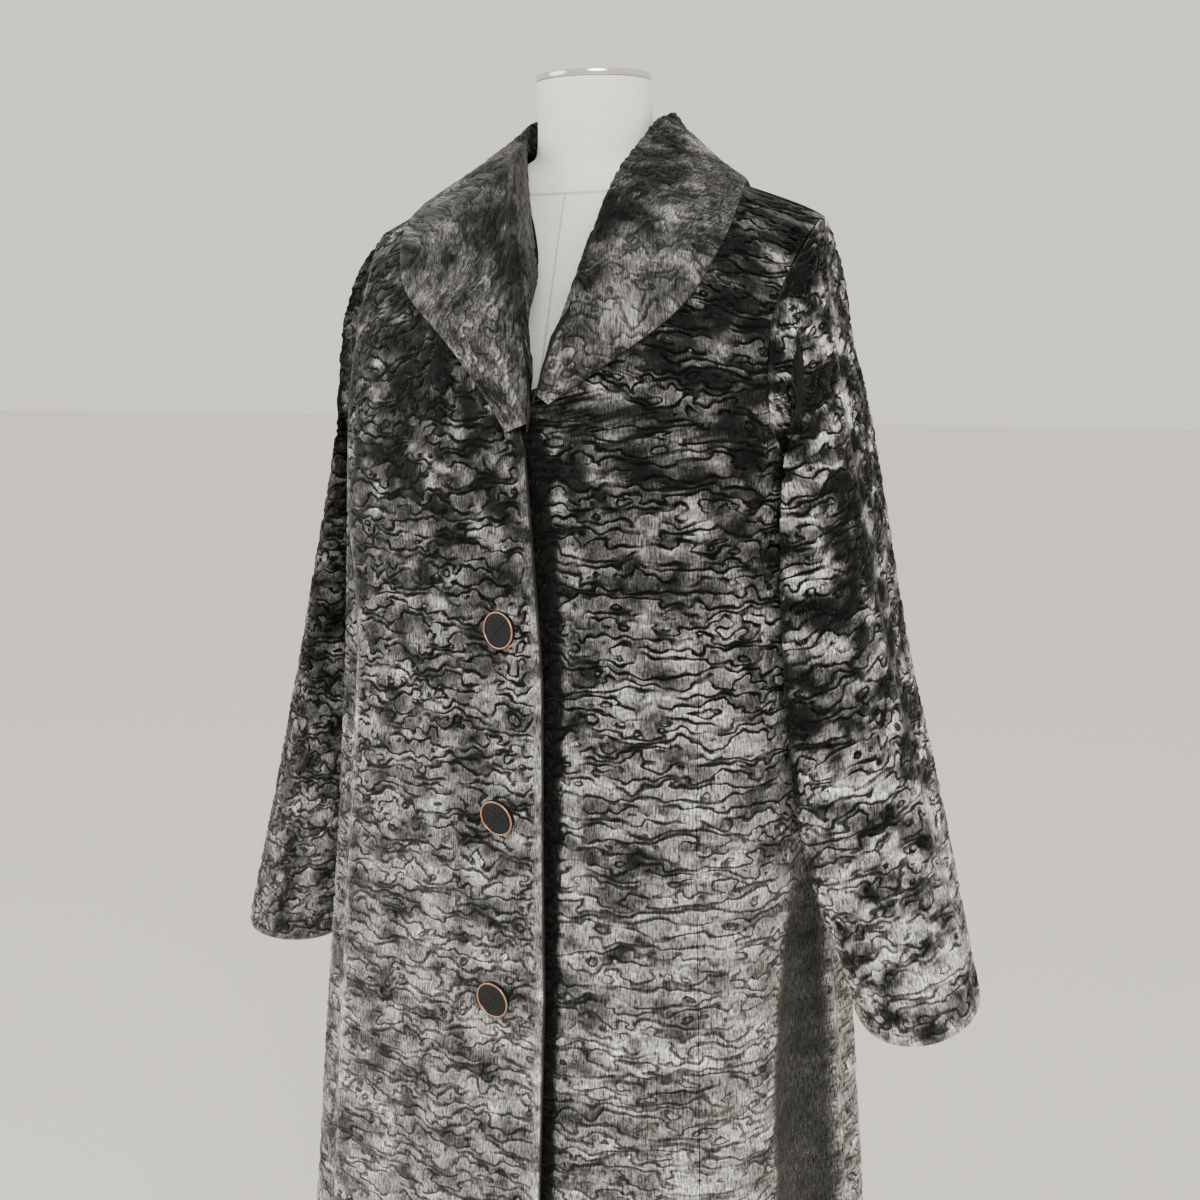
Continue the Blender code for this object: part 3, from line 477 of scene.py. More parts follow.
def ridge_profile(number, steep):
    """Height over the groove, from 0 in it to 1 about 2 mm away."""
    part = number - np.floor(number)
    away = np.minimum(part, 1.0 - part) / steep
    return 1.0 - np.exp(-((away / GROOVE_WIDTH) ** 2))


# %% [markdown]
# ## Finishes

# %%
def finish_named(name):
    made = bpy.data.materials.new(name)
    made.use_nodes = True
    tree = made.node_tree
    return made, tree, tree.nodes["Principled BSDF"]


def set_inputs(node, values):
    for name, value in values.items():
        node.inputs[name].default_value = value


def plain(name, colour, roughness, metallic=0.0, specular=0.5):
    made, _, shader = finish_named(name)
    set_inputs(shader, {"Base Color": (*colour, 1.0), "Roughness": roughness,
                        "Metallic": metallic, "Specular IOR Level": specular})
    return made


def math_node(tree, operation, first, second=None):
    node = tree.nodes.new("ShaderNodeMath")
    node.operation = operation
    for socket, value in zip(node.inputs, (first, second)):
        if isinstance(value, (int, float)):
            socket.default_value = value
        elif value is not None:
            tree.links.new(value, socket)
    return node.outputs[0]


def attribute(tree, name, output="Fac"):
    node = tree.nodes.new("ShaderNodeAttribute")
    node.attribute_name = name
    return node.outputs[output]


def ramp(tree, factor, stops):
    """Grey ramp through (place, level) stops."""
    node = tree.nodes.new("ShaderNodeValToRGB")
    elements = node.color_ramp.elements
    while len(elements) < len(stops):
        elements.new(0.5)
    for element, (place, level) in zip(elements, stops):
        element.position = place
        element.color = (level, level, level, 1.0)
    tree.links.new(factor, node.inputs[0])
    return node.outputs[0]


def streaks(tree, place, scale, detail=2.0):
    """Noise stretched along the nap: fine across it, long along it."""
    mapping = tree.nodes.new("ShaderNodeMapping")
    set_inputs(mapping, {"Scale": scale})
    tree.links.new(place, mapping.inputs["Vector"])
    node = tree.nodes.new("ShaderNodeTexNoise")
    set_inputs(node, {"Scale": 1.0, "Detail": detail})
    tree.links.new(mapping.outputs[0], node.inputs["Vector"])
    return node.outputs["Fac"]


def tinted(tree, value, tint):
    node = tree.nodes.new("ShaderNodeMix")
    node.data_type = "RGBA"
    node.blend_type = "MULTIPLY"
    set_inputs(node, {"Factor": 1.0, 6: (*tint, 1.0)})
    tree.links.new(value, node.inputs[7])
    return node.outputs[2]


def add_bump(tree, shader, height, strength, distance):
    bump = tree.nodes.new("ShaderNodeBump")
    set_inputs(bump, {"Strength": strength, "Distance": distance})
    tree.links.new(height, bump.inputs["Height"])
    tree.links.new(bump.outputs["Normal"], shader.inputs["Normal"])


# Painted light of the pile: painted shade in each groove and under each ridge, and a painted
# highlight beside the groove.
GROOVE_SHADE_AND_HIGHLIGHT = ((0.0, 0.01), (0.12, 0.04), (0.28, 0.70), (0.38, 1.90), (0.52, 1.15), (1.0, 0.85))
UNDER_SHADE = ((0.0, 0.05), (0.35, 0.35), (0.70, 1.05))
NAP_TONE_AND_LIGHT_LEVELS = ((0.0, 0.002), (0.25, 0.012), (0.50, 0.092), (0.75, 0.31), (1.0, 0.58))
SHADE_REACH = 0.2        # one over the millimetres that a shade ramp spans


def plush_finish():
    """Dark pile with a silver-grey bloom that is partly painted sheen, with painted shade in the
    grooves and a painted highlight beside them.
    """
    made, tree, shader = finish_named("charcoal plush")
    add, subtract, multiply, divide, most, least = [
        partial(math_node, tree, word)
        for word in ("ADD", "SUBTRACT", "MULTIPLY", "DIVIDE", "MAXIMUM", "MINIMUM")]

    def spread(value, factor, floor):
        """Noise round 0.5 becomes a gain round 1, and no less than the floor."""
        return most(add(multiply(value, factor), 1.0 - 0.5 * factor), floor)

    number, strength, nap, steep = [
        attribute(tree, name) for name in ("number", "strength", "nap", "steep")]
    place = attribute(tree, "place", "Vector")
    part = math_node(tree, "FRACT", number)
    above = divide(part, steep)
    nearest = least(above, divide(subtract(1.0, part), steep))
    # Painted shade in and under each groove and a painted highlight beside it, as strong as the
    # groove.
    shade = multiply(ramp(tree, multiply(nearest, SHADE_REACH), GROOVE_SHADE_AND_HIGHLIGHT),
                     ramp(tree, multiply(above, SHADE_REACH), UNDER_SHADE))
    groove = add(multiply(subtract(shade, 1.0), strength), 1.0)
    fibres = streaks(tree, place, (800.0, 130.0, 1.0))
    tufts = streaks(tree, place, (420.0, 420.0, 1.0), 3.0)
    gain = multiply(multiply(spread(fibres, 4.2, 0.08), spread(tufts, 2.4, 0.10)), groove)
    # The nap attribute holds the nap's random tone together with each piece's painted light and
    # shade, which these levels turn into colour.
    light = multiply(ramp(tree, nap, NAP_TONE_AND_LIGHT_LEVELS), gain)
    tree.links.new(tinted(tree, light, (1.0, 0.995, 0.955)), shader.inputs["Base Color"])
    profile = subtract(1.0, math_node(tree, "EXPONENT", multiply(nearest, -0.9)))
    relief = add(multiply(profile, strength), multiply(tufts, 0.5))
    add_bump(tree, shader, add(relief, multiply(fibres, 0.25)), 0.9, 0.0016)
    set_inputs(shader, {"Roughness": 0.62, "Specular IOR Level": 0.12, "Sheen Weight": 0.15,
                        "Sheen Roughness": 0.35, "Sheen Tint": (0.55, 0.56, 0.53, 1.0)})
    return made


def linen_finish():
    """Plain weave: two crossed sets of threads with slubs, and darker seam lines."""
    made, tree, shader = finish_named("natural linen")
    add, subtract, multiply = [
        partial(math_node, tree, word) for word in ("ADD", "SUBTRACT", "MULTIPLY")]
    coordinates = tree.nodes.new("ShaderNodeTexCoord").outputs["Object"]
    warp = streaks(tree, coordinates, (900.0, 900.0, 60.0))
    weft = streaks(tree, coordinates, (70.0, 70.0, 1100.0))
    cloudy = streaks(tree, coordinates, (40.0, 40.0, 40.0), 3.0)
    weave = add(warp, weft)
    value = add(add(multiply(weave, 0.16), 0.84), multiply(cloudy, 0.08))
    value = subtract(value, multiply(attribute(tree, "seam"), 0.45))
    tree.links.new(tinted(tree, value, (0.95, 0.94, 0.87)), shader.inputs["Base Color"])
    add_bump(tree, shader, weave, 0.35, 0.0004)
    set_inputs(shader, {"Roughness": 0.9, "Specular IOR Level": 0.15})
    return made


plush = plush_finish()
linen = linen_finish()
chrome = plain("chrome", (0.72, 0.72, 0.71), 0.16, 1.0)
horn = plain("dark button", (0.006, 0.006, 0.008), 0.35, 0.0, 0.25)
weave_blue = plain("button face", (0.005, 0.006, 0.008), 0.30, 0.0, 0.25)
copper = plain("copper rim", (0.48, 0.27, 0.18), 0.28, 1.0)

# %% [markdown]
# ## Building a cloth piece
#
# A piece is a closed wall.  Its outer side is a fine grid, pushed out on the ridges and
# in at the grooves, and rounded down at its edges like a turned or sewn edge.  The
# inner side is a coarser grid, one cloth thickness further in.

# %%
def linked(name, data):
    made = bpy.data.objects.new(name, data)
    bpy.context.scene.collection.objects.link(made)
    return made


def link_mesh(name, points, faces, finish, smooth_angle=60):
    mesh = bpy.data.meshes.new(name)
    mesh.from_pydata(np.asarray(points).reshape(-1, 3).tolist(), [], faces)
    mesh.shade_smooth()
    mesh.set_sharp_from_angle(angle=radians(smooth_angle))
    mesh.materials.append(finish)
    return linked(name, mesh)


def shown(piece, node=None):
    """Hide the node that a made piece stands for, if any, and attach the piece to the root body.
    """
    if node:
        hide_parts(node)
    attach(piece, "root")


def grid_faces(numbers):
    """Quads of a grid of point numbers."""
    corners = numbers[:-1, :-1], numbers[:-1, 1:], numbers[1:, 1:], numbers[1:, :-1]
    return np.stack([corner.ravel() for corner in corners], axis=-1).tolist()


def wall_faces(rows, steps, ratio):
    """Outer grid, coarser inner grid, and a rim that joins the two."""
    fine = np.arange(rows * steps).reshape(rows, steps)
    coarse = rows * steps + np.arange(((rows - 1) // ratio + 1) * ((steps - 1) // ratio + 1))
    coarse = coarse.reshape((rows - 1) // ratio + 1, -1)
    faces = grid_faces(fine) + [face[::-1] for face in grid_faces(coarse)]
    for run, inner in ((fine[0], coarse[0]), (fine[:, -1], coarse[:, -1]),
                       (fine[-1, ::-1], coarse[-1, ::-1]), (fine[::-1, 0], coarse[::-1, 0])):
        for k in range(len(inner) - 1):
            outer = run[k * ratio:(k + 1) * ratio + 1]
            faces.append(outer[::-1].tolist() + inner[k:k + 2].tolist())
    return faces


def closed_faces(rows, steps, closes=False):
    """Outward faces of rings listed from the top down, or from the middle of a face out.

    The first and the last ring are filled, or joined where the profile closes.
    """
    numbers = np.arange(rows * steps).reshape(rows, steps)
    if closes:
        numbers = np.concatenate([numbers, numbers[:1]])
    faces = [face[::-1] for face in grid_faces(np.concatenate([numbers, numbers[:, :1]], axis=1))]
    if not closes:
        faces += [numbers[0].tolist(), numbers[-1, ::-1].tolist()]
    return faces


def flat_places(outer):
    """Flat coordinates in metres: across from the first column, and up from the first row."""
    across = np.linalg.norm(np.diff(outer, axis=1), axis=-1)
    u = np.concatenate([np.zeros((outer.shape[0], 1)), np.cumsum(across, axis=1)], axis=1)
    up = np.linalg.norm(np.diff(outer, axis=0), axis=-1)
    v = np.concatenate([np.zeros((1, outer.shape[1])), np.cumsum(up, axis=0)], axis=0)
    return u, v


def write_attribute(mesh, name, values, kind="FLOAT"):
    made = mesh.attributes.new(name, kind, "POINT")
    made.data.foreach_set("vector" if kind == "FLOAT_VECTOR" else "value",
                          np.ascontiguousarray(values, dtype=np.float32).ravel())


RELIEF = 0.0026          # from a groove's bottom to a ridge's top
RELIEF_MIDDLE = 0.70     # share of the relief that lies on the pattern's own surface
TUFT_RISE = 0.0004
TUFT_SPACING = 0.006
SEAM_BAND = 0.002        # plain pile beside an edge
EDGE_FADE = 0.004        # over which the grooves fade in from there


def cloth_piece(node, outer, normals, thickness, look, brightness):
    """Closed piece of plush, in place of a node, over a grid of points and directions.

    The look holds what differs: seed, turn (of the ridges, in degrees), curl, contrast (of
    the nap), places (pattern coordinates), calm, bulge, bands (plain pile along the edges),
    edge_round and edge_sink.
    """
    rows, steps = outer.shape[:2]
    u, v = flat_places(outer)
    flat_u, flat_v = look["places"](outer) if "places" in look else (u, v)
    number, strength, width, nap = winding(flat_u, flat_v, look)
    steep = steepness(number, outer) * width
    calm = look["calm"](outer) if "calm" in look else 1.0
    distances = {"low": v, "high": v[-1:] - v, "first": u, "last": u[:, -1:] - u}
    nearest = np.minimum.reduce(list(distances.values()))
    strength = strength * (0.78 + 0.22 * ease((outer[..., 2] - 0.75) / 0.30)) * calm
    for word, away in distances.items():
        band = look.get("bands", {}).get(word, SEAM_BAND)
        strength = strength * ease((away - band) / EDGE_FADE)
    at_chest = 1.0 + 0.30 * ease((outer[..., 2] - 1.10) / 0.10)
    contrast = look.get("contrast", 0.50) * at_chest * calm
    # Painted light and shade of the piece, with the nap's random tone on top.
    tone_and_painted_light = np.clip(brightness(outer, distances) + contrast * nap, 0.0, 1.0)
    push = RELIEF * (ridge_profile(number, steep) - RELIEF_MIDDLE) * strength
    push = push + TUFT_RISE * noise(flat_u / TUFT_SPACING, flat_v / TUFT_SPACING, look["seed"] + 9)
    turned_down = np.clip(1.0 - nearest / look.get("edge_round", 0.0035), 0.0, 1.0) ** 2
    push = push * ease(nearest / EDGE_FADE) - look.get("edge_sink", 0.0012) * turned_down
    if "bulge" in look:
        push = push + look["bulge"](outer, distances)
    raised = outer + push[..., None] * normals
    inner = (outer - thickness * normals)[::LINING_STEP, ::LINING_STEP]
    points = np.concatenate([raised.reshape(-1, 3), inner.reshape(-1, 3)])
    made = link_mesh(f"plush_{node}", points, wall_faces(rows, steps, LINING_STEP), plush)
    spare = inner.shape[0] * inner.shape[1]

    def whole(values, filler=0.0):
        """The outer grid's values, and a filler for the inner grid."""
        return np.concatenate([np.ravel(values), np.full(spare, filler)])

    # The nap attribute carries that painted light and shade together with the nap's tone.
    for name, values, filler in (("number", number, 0.5), ("steep", steep, 0.1),
                                 ("strength", strength, 0.0), ("nap", tone_and_painted_light, 0.12)):
        write_attribute(made.data, name, whole(values, filler))
    flat = np.stack([whole(flat_u), whole(flat_v), whole(0.0 * flat_u)], axis=-1)
    write_attribute(made.data, "place", flat, "FLOAT_VECTOR")
    shown(made, node)
    return made


def rounded_count(length, step):
    """Points for a length so that the lining's coarser grid fits."""
    return int(np.ceil(length / step / LINING_STEP)) * LINING_STEP + 1

# %% [markdown]
# ## Fronts, sides and back
#
# Chest and shoulders get painted shade and the skirt painted sheen, as their nap lies in the shade
# or catches the light.

# %%
LIGHT_COLUMNS = ("z", "brightness")
# Painted light by height: painted shade at the chest, painted sheen low down.
BODY_LIGHT = (
    (0.30, 0.62),
    (0.60, 0.62),
    (0.75, 0.62),
    (0.90, 0.59),
    (1.02, 0.53),
    (1.10, 0.46),
    (1.20, 0.33),
    (1.42, 0.25),
)
BODY_RADIUS = 0.20       # about the coat's own, so the pattern isn't stretched


def body_places(points):
    """Pattern coordinates shared by all body pieces: arc round the body, and height."""
    x, y, z = points[..., 0], points[..., 1], points[..., 2]
    leaning = 0.4 * ease((z - 1.20) / 0.15) * (0.12 - np.abs(y + 0.01))
    return BODY_RADIUS * np.arctan2(x, -y), z + np.where(y < 0.0, leaning, 0.0)


def valley(points):
    """How deep in the shade a point is, of the hanging fold under the left arm."""
    angle = np.degrees(np.arctan2(points[..., 0], -points[..., 1]))
    low = ease((0.88 - points[..., 2]) / 0.22)
    across = ease((angle - 74.0 + 8.0 * low) / 3.0) - ease((angle - 84.0) / 4.0)
    return across * ease((0.90 - points[..., 2]) / 0.10)


def body_calm(points):
    """The grooves nearly vanish in that fold, where the cloth is smooth."""
    return 1.0 - 0.85 * valley(points)


def body_painted_light(points, distances):
    """Painted light by height: painted shade at the chest, painted sheen low down, painted light
    on the left flank and painted shade in the fold under the left arm.
    """
    x, z = points[..., 0], points[..., 2]
    level = column(BODY_LIGHT, LIGHT_COLUMNS, "brightness", z)
    painted_flank_light = ease((x - 0.12) / 0.06) * ease((1.12 - z) / 0.10)
    return level + 0.12 * painted_flank_light - 0.44 * valley(points)


def below_break(points, drop=0.0, fade=0.03):
    """1 where the fronts overlap, 0 above the break."""
    return ease((BREAK_Z["right"] - drop - points[..., 2]) / fade)


def lapping_painted_light(points, distances):
    """The lapping front's painted light, with a plain, lighter band along its turned edge and a
    lighter line at its princess seam.
    """
    band = 1.0 - ease((distances["last"] - 0.007) / 0.007)
    seam = 1.0 - ease((distances["first"] - 0.003) / 0.004)
    return body_painted_light(points, distances) + 0.04 * band * below_break(points) + 0.12 * seam


def lapping_bulge(points, distances):
    """Its edge stands a little off the other front, and its princess seam is a low ridge."""
    seam = 0.0012 * np.exp(-((distances["first"] - 0.003) / 0.003) ** 2)
    edge = np.exp(-(distances["last"] / 0.016) ** 2)
    return 0.0030 * below_break(points, 0.01, 0.06) * edge + seam


def past_the_lap(points):
    """Distance on the under front from the lapping front's edge."""
    return points[..., 0] - front_edge_x(points[..., 2], True)


def under_painted_light(points, distances):
    """Painted shadow beside the lapping edge, where hardly any light comes in, over the body's
    painted light.
    """
    past = past_the_lap(points)
    reach = 0.003 + 0.008 * ease((points[..., 2] - 0.70) / 0.40)
    painted_shadow = 1.0 - ease((past - reach) / 0.010)
    return body_painted_light(points, distances) - 0.80 * painted_shadow * below_break(points, -0.01)


def under_bulge(points, distances):
    """It sinks a little beside that edge."""
    return -0.0015 * np.exp(-(past_the_lap(points) / 0.012) ** 2) * below_break(points)


def armhole_x(z):
    return column(ARMHOLE, ARMHOLE_COLUMNS, "x", z)


def princess_angle(z):
    """The princess seam runs up the front and ends on the armhole."""
    lower = np.radians(column(PRINCESS, PRINCESS_COLUMNS, "angle", z))
    at_top = angle_at(armhole_x(PRINCESS_TOP_Z), PRINCESS_TOP_Z)
    share = ease((z - PRINCESS_BEND_Z) / (PRINCESS_TOP_Z - PRINCESS_BEND_Z))
    return lower + share * (at_top - lower)


def row_crossing(rows, line_x):
    """Heights and x where each cloth row meets a line given as x over height."""
    x = np.full(rows.shape, SHOULDER_TIP[0])
    for _ in range(30):
        z = row_height(rows, x)
        x = line_x(z)
    return z, x


def front_edge_x(z, laps):
    """The front's edge up to the break, then the neckline up to the neck point."""
    word = "right" if laps else "left"
    turn_z = BREAK_Z[word]
    if laps:
        bend_x, bend_z = FRONT_EDGE_BEND
        edge = np.interp(z, (BUTTONS[2][1], bend_z, turn_z),
                         (FRONT_EDGE_LOW, bend_x, FRONT_EDGE_TOP))
    else:
        edge = np.full(np.shape(z), UNDER_LAP_X)
    start, finish = NECKLINE_X[word]
    rise = np.clip((z - turn_z) / (NECK_POINT[1] - turn_z), 0.0, 1.0)
    neckline = start + (finish - start) * rise ** NECKLINE_BEND[word]
    return edge + (neckline - edge) * ease((z - turn_z + BREAK_BEND) / BREAK_BEND)


def cloth_rows(step):
    lower, upper = [rounded_count(length, step) for length in BODY_LENGTHS]
    return np.concatenate([np.linspace(0.0, 1.0, lower), np.linspace(1.0, 2.0, upper)[1:]])


def front_panel(laps, look):
    """Front from its edge and the neckline to the princess seam and the armhole."""
    word, side = ("right", -1.0) if laps else ("left", 1.0)
    shape = lapped if laps else unlapped
    rows = cloth_rows(FINE)
    inner_z, inner_x = row_crossing(rows, lambda z: front_edge_x(z, laps))

    def outer_line(z):
        seam = body_point(princess_angle(z) - SEAM_TURN, z)[..., 0]
        return np.where(z < PRINCESS_TOP_Z, seam, armhole_x(np.maximum(z, PRINCESS_TOP_Z)))

    outer_z, _ = row_crossing(rows, outer_line)
    low = rows <= 1.0
    outer_z[low] = HEM_Z + rows[low] * (PRINCESS_TOP_Z - HEM_Z)
    inner = np.stack([angle_at(inner_x, inner_z), inner_z])
    outer = np.stack([side * angle_at(outer_line(outer_z), outer_z), outer_z])
    start, end = (outer, inner) if laps else (inner, outer)
    across = np.linspace(0.0, 1.0, rounded_count(FRONT_WIDTH, FINE))
    angles, heights = start[..., None] * (1 - across) + end[..., None] * across
    points = shape(body_point(angles, heights))
    normals = body_normals(angles, heights, shape)
    points[-1, :, 1] = -HALF_SEAM
    normals[-1] = (0.0, 0.0, 1.0)
    brightness = lapping_painted_light if laps else under_painted_light
    return cloth_piece(f"front_{word}", points, normals, CLOTH, look, brightness)


def side_panel(side, look):
    """Panel under the arm, from the princess seam to the side seam."""
    word = "left" if side > 0 else "right"
    up, across = [np.linspace(0.0, 1.0, rounded_count(length, FINE)) for length in SIDE_LENGTHS]
    up = up[:, None]
    top = PRINCESS_TOP_Z + (UNDERARM_Z - PRINCESS_TOP_Z) * across**0.7
    heights = HEM_Z + up * (top - HEM_Z)
    first = princess_angle(heights[:, :1]) + SEAM_TURN
    last = pi / 2 - SEAM_TURN
    angles = first + (last - first) * across
    armhole = np.minimum(angle_at(armhole_x(top), top) + SEAM_TURN, last)
    angles = angles + ease((up - 0.6) / 0.4) * (armhole - angles[-1:])
    if side < 0:
        angles, heights = -angles[:, ::-1], heights[:, ::-1]
    points = body_point(angles, heights)
    normals = body_normals(angles, heights, unlapped)
    return cloth_piece(f"side_front_{word}", points, normals, CLOTH, look, body_painted_light)


def back_panel(look):
    """Back in one piece: side seams, armholes, shoulder seams and the back neck."""
    rows = cloth_rows(COARSE)

    def outer_line(z):
        side = body_point(pi / 2 + SEAM_TURN, z)[..., 0]
        return np.where(z < UNDERARM_Z, side, armhole_x(np.maximum(z, UNDERARM_Z)))

    outer_z, outer_x = row_crossing(rows, outer_line)
    low = outer_z < UNDERARM_Z
    edge = np.where(low, pi / 2 + SEAM_TURN, angle_at(outer_x, outer_z, back=True))
    across = np.linspace(1.0, -1.0, rounded_count(BACK_WIDTH, COARSE))
    angles = pi - (pi - edge[:, None]) * across
    x = np.abs(body_point(angles, outer_z[:, None])[..., 0])
    heights = row_height(rows[:, None], np.maximum(x, NECK_POINT[0]))
    dip = ease(1.0 - x / NECK_POINT[0]) * np.clip(rows[:, None] - 1.0, 0.0, 1.0) ** 2
    heights = heights - BACK_NECK_DROP * dip
    points = body_point(angles, heights)
    normals = body_normals(angles, heights, unlapped)
    on_shoulder = ease((x[-1] - NECK_POINT[0] + 0.012) / 0.012)[:, None]
    normals[-1] += on_shoulder * (np.array([0.0, 0.0, 1.0]) - normals[-1])
    normals[-1] /= np.linalg.norm(normals[-1], axis=-1, keepdims=True)
    points[-1, :, 1] = np.maximum(points[-1, :, 1], HALF_SEAM)
    return cloth_piece("back", points, normals, CLOTH, look, body_painted_light)


# The near front and side share a seed and flat edges, so the curls run over their seam.
FLAT_EDGE = {"seed": 17, "places": body_places, "edge_sink": 0.0, "edge_round": 0.0015}
panels = [
    front_panel(True, {"seed": 3, "places": body_places, "bands": {"last": 0.004, "first": 0.004},
                       "bulge": lapping_bulge}),
    front_panel(False, {**FLAT_EDGE, "bands": {"last": -0.004}, "bulge": under_bulge}),
    side_panel(1, {**FLAT_EDGE, "bands": {"first": -0.004}, "calm": body_calm}),
    side_panel(-1, {"seed": 41, "places": body_places}),
    back_panel({"seed": 53, "places": body_places}),
]

# %% [markdown]
# ## Sleeves
#
# A sleeve is a row of tilted ellipses from the armhole to the cuff, cut in two at the
# overarm and the underarm seam.  A cubic curve runs through the rings.

# %%
def armhole_ring(turn):
    """Points of the armhole on the body surface; turn 0 is the tip, pi the underarm."""
    share = 0.5 * (1.0 - np.cos(turn))
    z = SHOULDER_TIP[1] + (UNDERARM_Z - SHOULDER_TIP[1]) * share
    x = armhole_x(z)
    front = body_point(angle_at(x, z), z)
    back = body_point(angle_at(x, z, back=True), z)
    return np.where((np.sin(turn) >= 0.0)[:, None], front, back)


def sleeve_rings(turn, word):
    rings = [armhole_ring(turn) + np.array([0.0008, 0.0, 0.0])]
    for index, row in enumerate(SLEEVE_SECTIONS):
        at = dict(zip(SLEEVE_COLUMNS, row))
        fall = SLEEVE_DROP[word] * ((index + 1) / len(SLEEVE_SECTIONS)) ** 1.2
        over = np.array([at["over_x"], 0.0, at["over_z"] - fall])
        under = np.array([at["under_x"], 0.0, at["under_z"] - fall])
        ahead_y = at["mid_y"] + SLEEVE_SWING[word] * ease((index + 1) / 6.0)
        at_cuff = ease((index - 5) / 5.0)
        out_x = SLEEVE_SPREAD[word] * ease(index / 5.0) + CUFF_SPREAD[word] * at_cuff
        middle = 0.5 * (over + under) + np.array([out_x, ahead_y, 0.0])
        half = 0.5 * (over - under)
        lean = SLEEVE_LEAN[word] * (ease(index / 4.0) - ease((index - 7) / 3.0))
        ahead = np.array([-lean, -at["half_depth"], -CUFF_DIP[word] * at_cuff])
        rings.append(middle + np.cos(turn)[:, None] * half + np.sin(turn)[:, None] * ahead)
    return np.array(rings)


ARM_COLUMNS = ("z", "x", "y")
ARM_MIDDLE = (
    (0.70, 0.305, -0.045),
    (0.90, 0.262, -0.045),
    (1.05, 0.245, -0.030),
    (1.20, 0.215, -0.010),
    (1.30, 0.178, -0.005),
    (1.40, 0.160, 0.000),
)
ARM_RADIUS = 0.068
ARM_SLOPE = 1.06         # length along the sleeve for each metre of height
# Painted light on the sleeves by height: painted shade above, painted sheen towards the cuff.
SLEEVE_LIGHT = (
    (0.72, 0.66),
    (0.85, 0.64),
    (0.95, 0.56),
    (1.05, 0.44),
    (1.20, 0.36),
    (1.40, 0.33),
)


def sleeve_painted_light(points, distances):
    """Painted light: painted shade, near-black, over the elbow's outside and on the inner side
    beside the body, painted sheen towards the cuff; the right one darker.
    """
    x, z = points[..., 0], points[..., 2]
    level = column(SLEEVE_LIGHT, LIGHT_COLUMNS, "brightness", z)
    middle = column(ARM_MIDDLE, ARM_COLUMNS, "x", z)
    beside_body = ease((z - 0.82) / 0.12) * ease((1.27 - z) / 0.06) * (x > 0.0)
    inner = ease((middle - 0.026 - x) / 0.014) * beside_body
    return level - np.where(x < 0.0, 0.10, 0.0) - 0.5 * inner


def sleeve_places(points):
    """Pattern coordinates on a sleeve: arc round the arm's middle, and length along it."""
    x, y, z = np.abs(points[..., 0]), points[..., 1], points[..., 2]
    aside = x - column(ARM_MIDDLE, ARM_COLUMNS, "x", z)
    ahead = column(ARM_MIDDLE, ARM_COLUMNS, "y", z) - y
    return ARM_RADIUS * np.arctan2(aside, ahead) * np.sign(points[..., 0]), ARM_SLOPE * z


def sleeve_half(side, half, look):
    """Front or back half of a sleeve, between the overarm and the underarm seam."""
    word = "left" if side > 0 else "right"
    along, around = [rounded_count(length, FINE) for length in SLEEVE_LENGTHS]
    turn = np.linspace(SLEEVE_SLIP, pi - SLEEVE_SLIP, around)
    if half == "back":
        turn = turn - pi
    points = refined(sleeve_rings(turn, word), along, 0)[::-1]
    points = points[:, ::-1] if side > 0 else points * (-1, 1, 1)
    return cloth_piece(f"sleeve_{half}_{word}", points, grid_normals(points), CLOTH, look,
                       sleeve_painted_light)


SLEEVE_LOOKS = {
    1: {"seed": 61, "turn": 18.0, "contrast": 0.88, "places": sleeve_places},
    -1: {"seed": 71, "contrast": 0.45, "places": sleeve_places},
}
sleeves = [sleeve_half(side, half, look)
           for side, look in SLEEVE_LOOKS.items() for half in ("front", "back")]

# %% [markdown]
# ## Collar
#
# Each half comes up from the neckline, turns over the roll line and falls to its edge,
# which is carried over the shoulder at a set turn: 90 degrees behind, 0 on the shoulder
# seam, -90 in front.  The fall is a cubic Bezier curve that is pushed out of the fronts.

# %%
def panel_depth(x, z, behind):
    """How far the body reaches forward or back at x, before the shoulder rounds it."""
    depth = np.where(behind, body_size("back", z), body_size("front", z))
    square = body_size("squareness", z)
    inside = np.clip(1.0 - (np.abs(x) / body_size("half_width", z)) ** square, 0.0, 1.0)
    return depth * inside ** (1.0 / square)


def shoulder_arch(x, z, behind, lift):
    rounding = np.where(behind, BACK_ROUND, SHOULDER_ROUND)
    centre_z = shoulder_height(x) - rounding
    return centre_z, rounding + lift, panel_depth(x, z, behind) + lift


def on_panels(x, turn, lift):
    """Point at x that stands lift over the panels, at a turn over the shoulder."""
    behind = turn > 0.0
    z = shoulder_height(x)
    for _ in range(3):
        centre_z, high, deep = shoulder_arch(x, z, behind, lift)
        past = np.maximum(np.abs(turn) - pi / 2, 0.0)
        z = centre_z + high * (np.cos(np.minimum(np.abs(turn), pi / 2)) - past)
    y = deep * np.sin(np.clip(turn, -pi / 2, pi / 2))
    return np.stack([x, y, z], axis=-1)


def over_panels(points, laps):
    """Push points of the collar's fall out until they clear the panels below them."""
    x, y, z = points[..., 0], points[..., 1], points[..., 2]
    rise = COLLAR_LAP_RISE * ease((x - LAP_START_X) / LAP_RAMP) if laps else 0.0
    centre_z, high, deep = shoulder_arch(x, z, y > 0.0, COLLAR_CLEAR)
    deep = deep + rise
    up = np.maximum(z - centre_z, 0.0)
    share = np.sqrt((y / deep) ** 2 + (up / high) ** 2)
    grow = np.where(share < 1.0, 1.0 / np.maximum(share, 0.2), 1.0)
    return np.stack([x, y * grow, z + up * (grow - 1.0)], axis=-1)


def collar_painted_light(points, distances):
    """The fall has painted shade along the roll and is painted lighter towards its edge."""
    return 0.46 - 0.20 * ease((distances["last"] - 0.045) / 0.045)


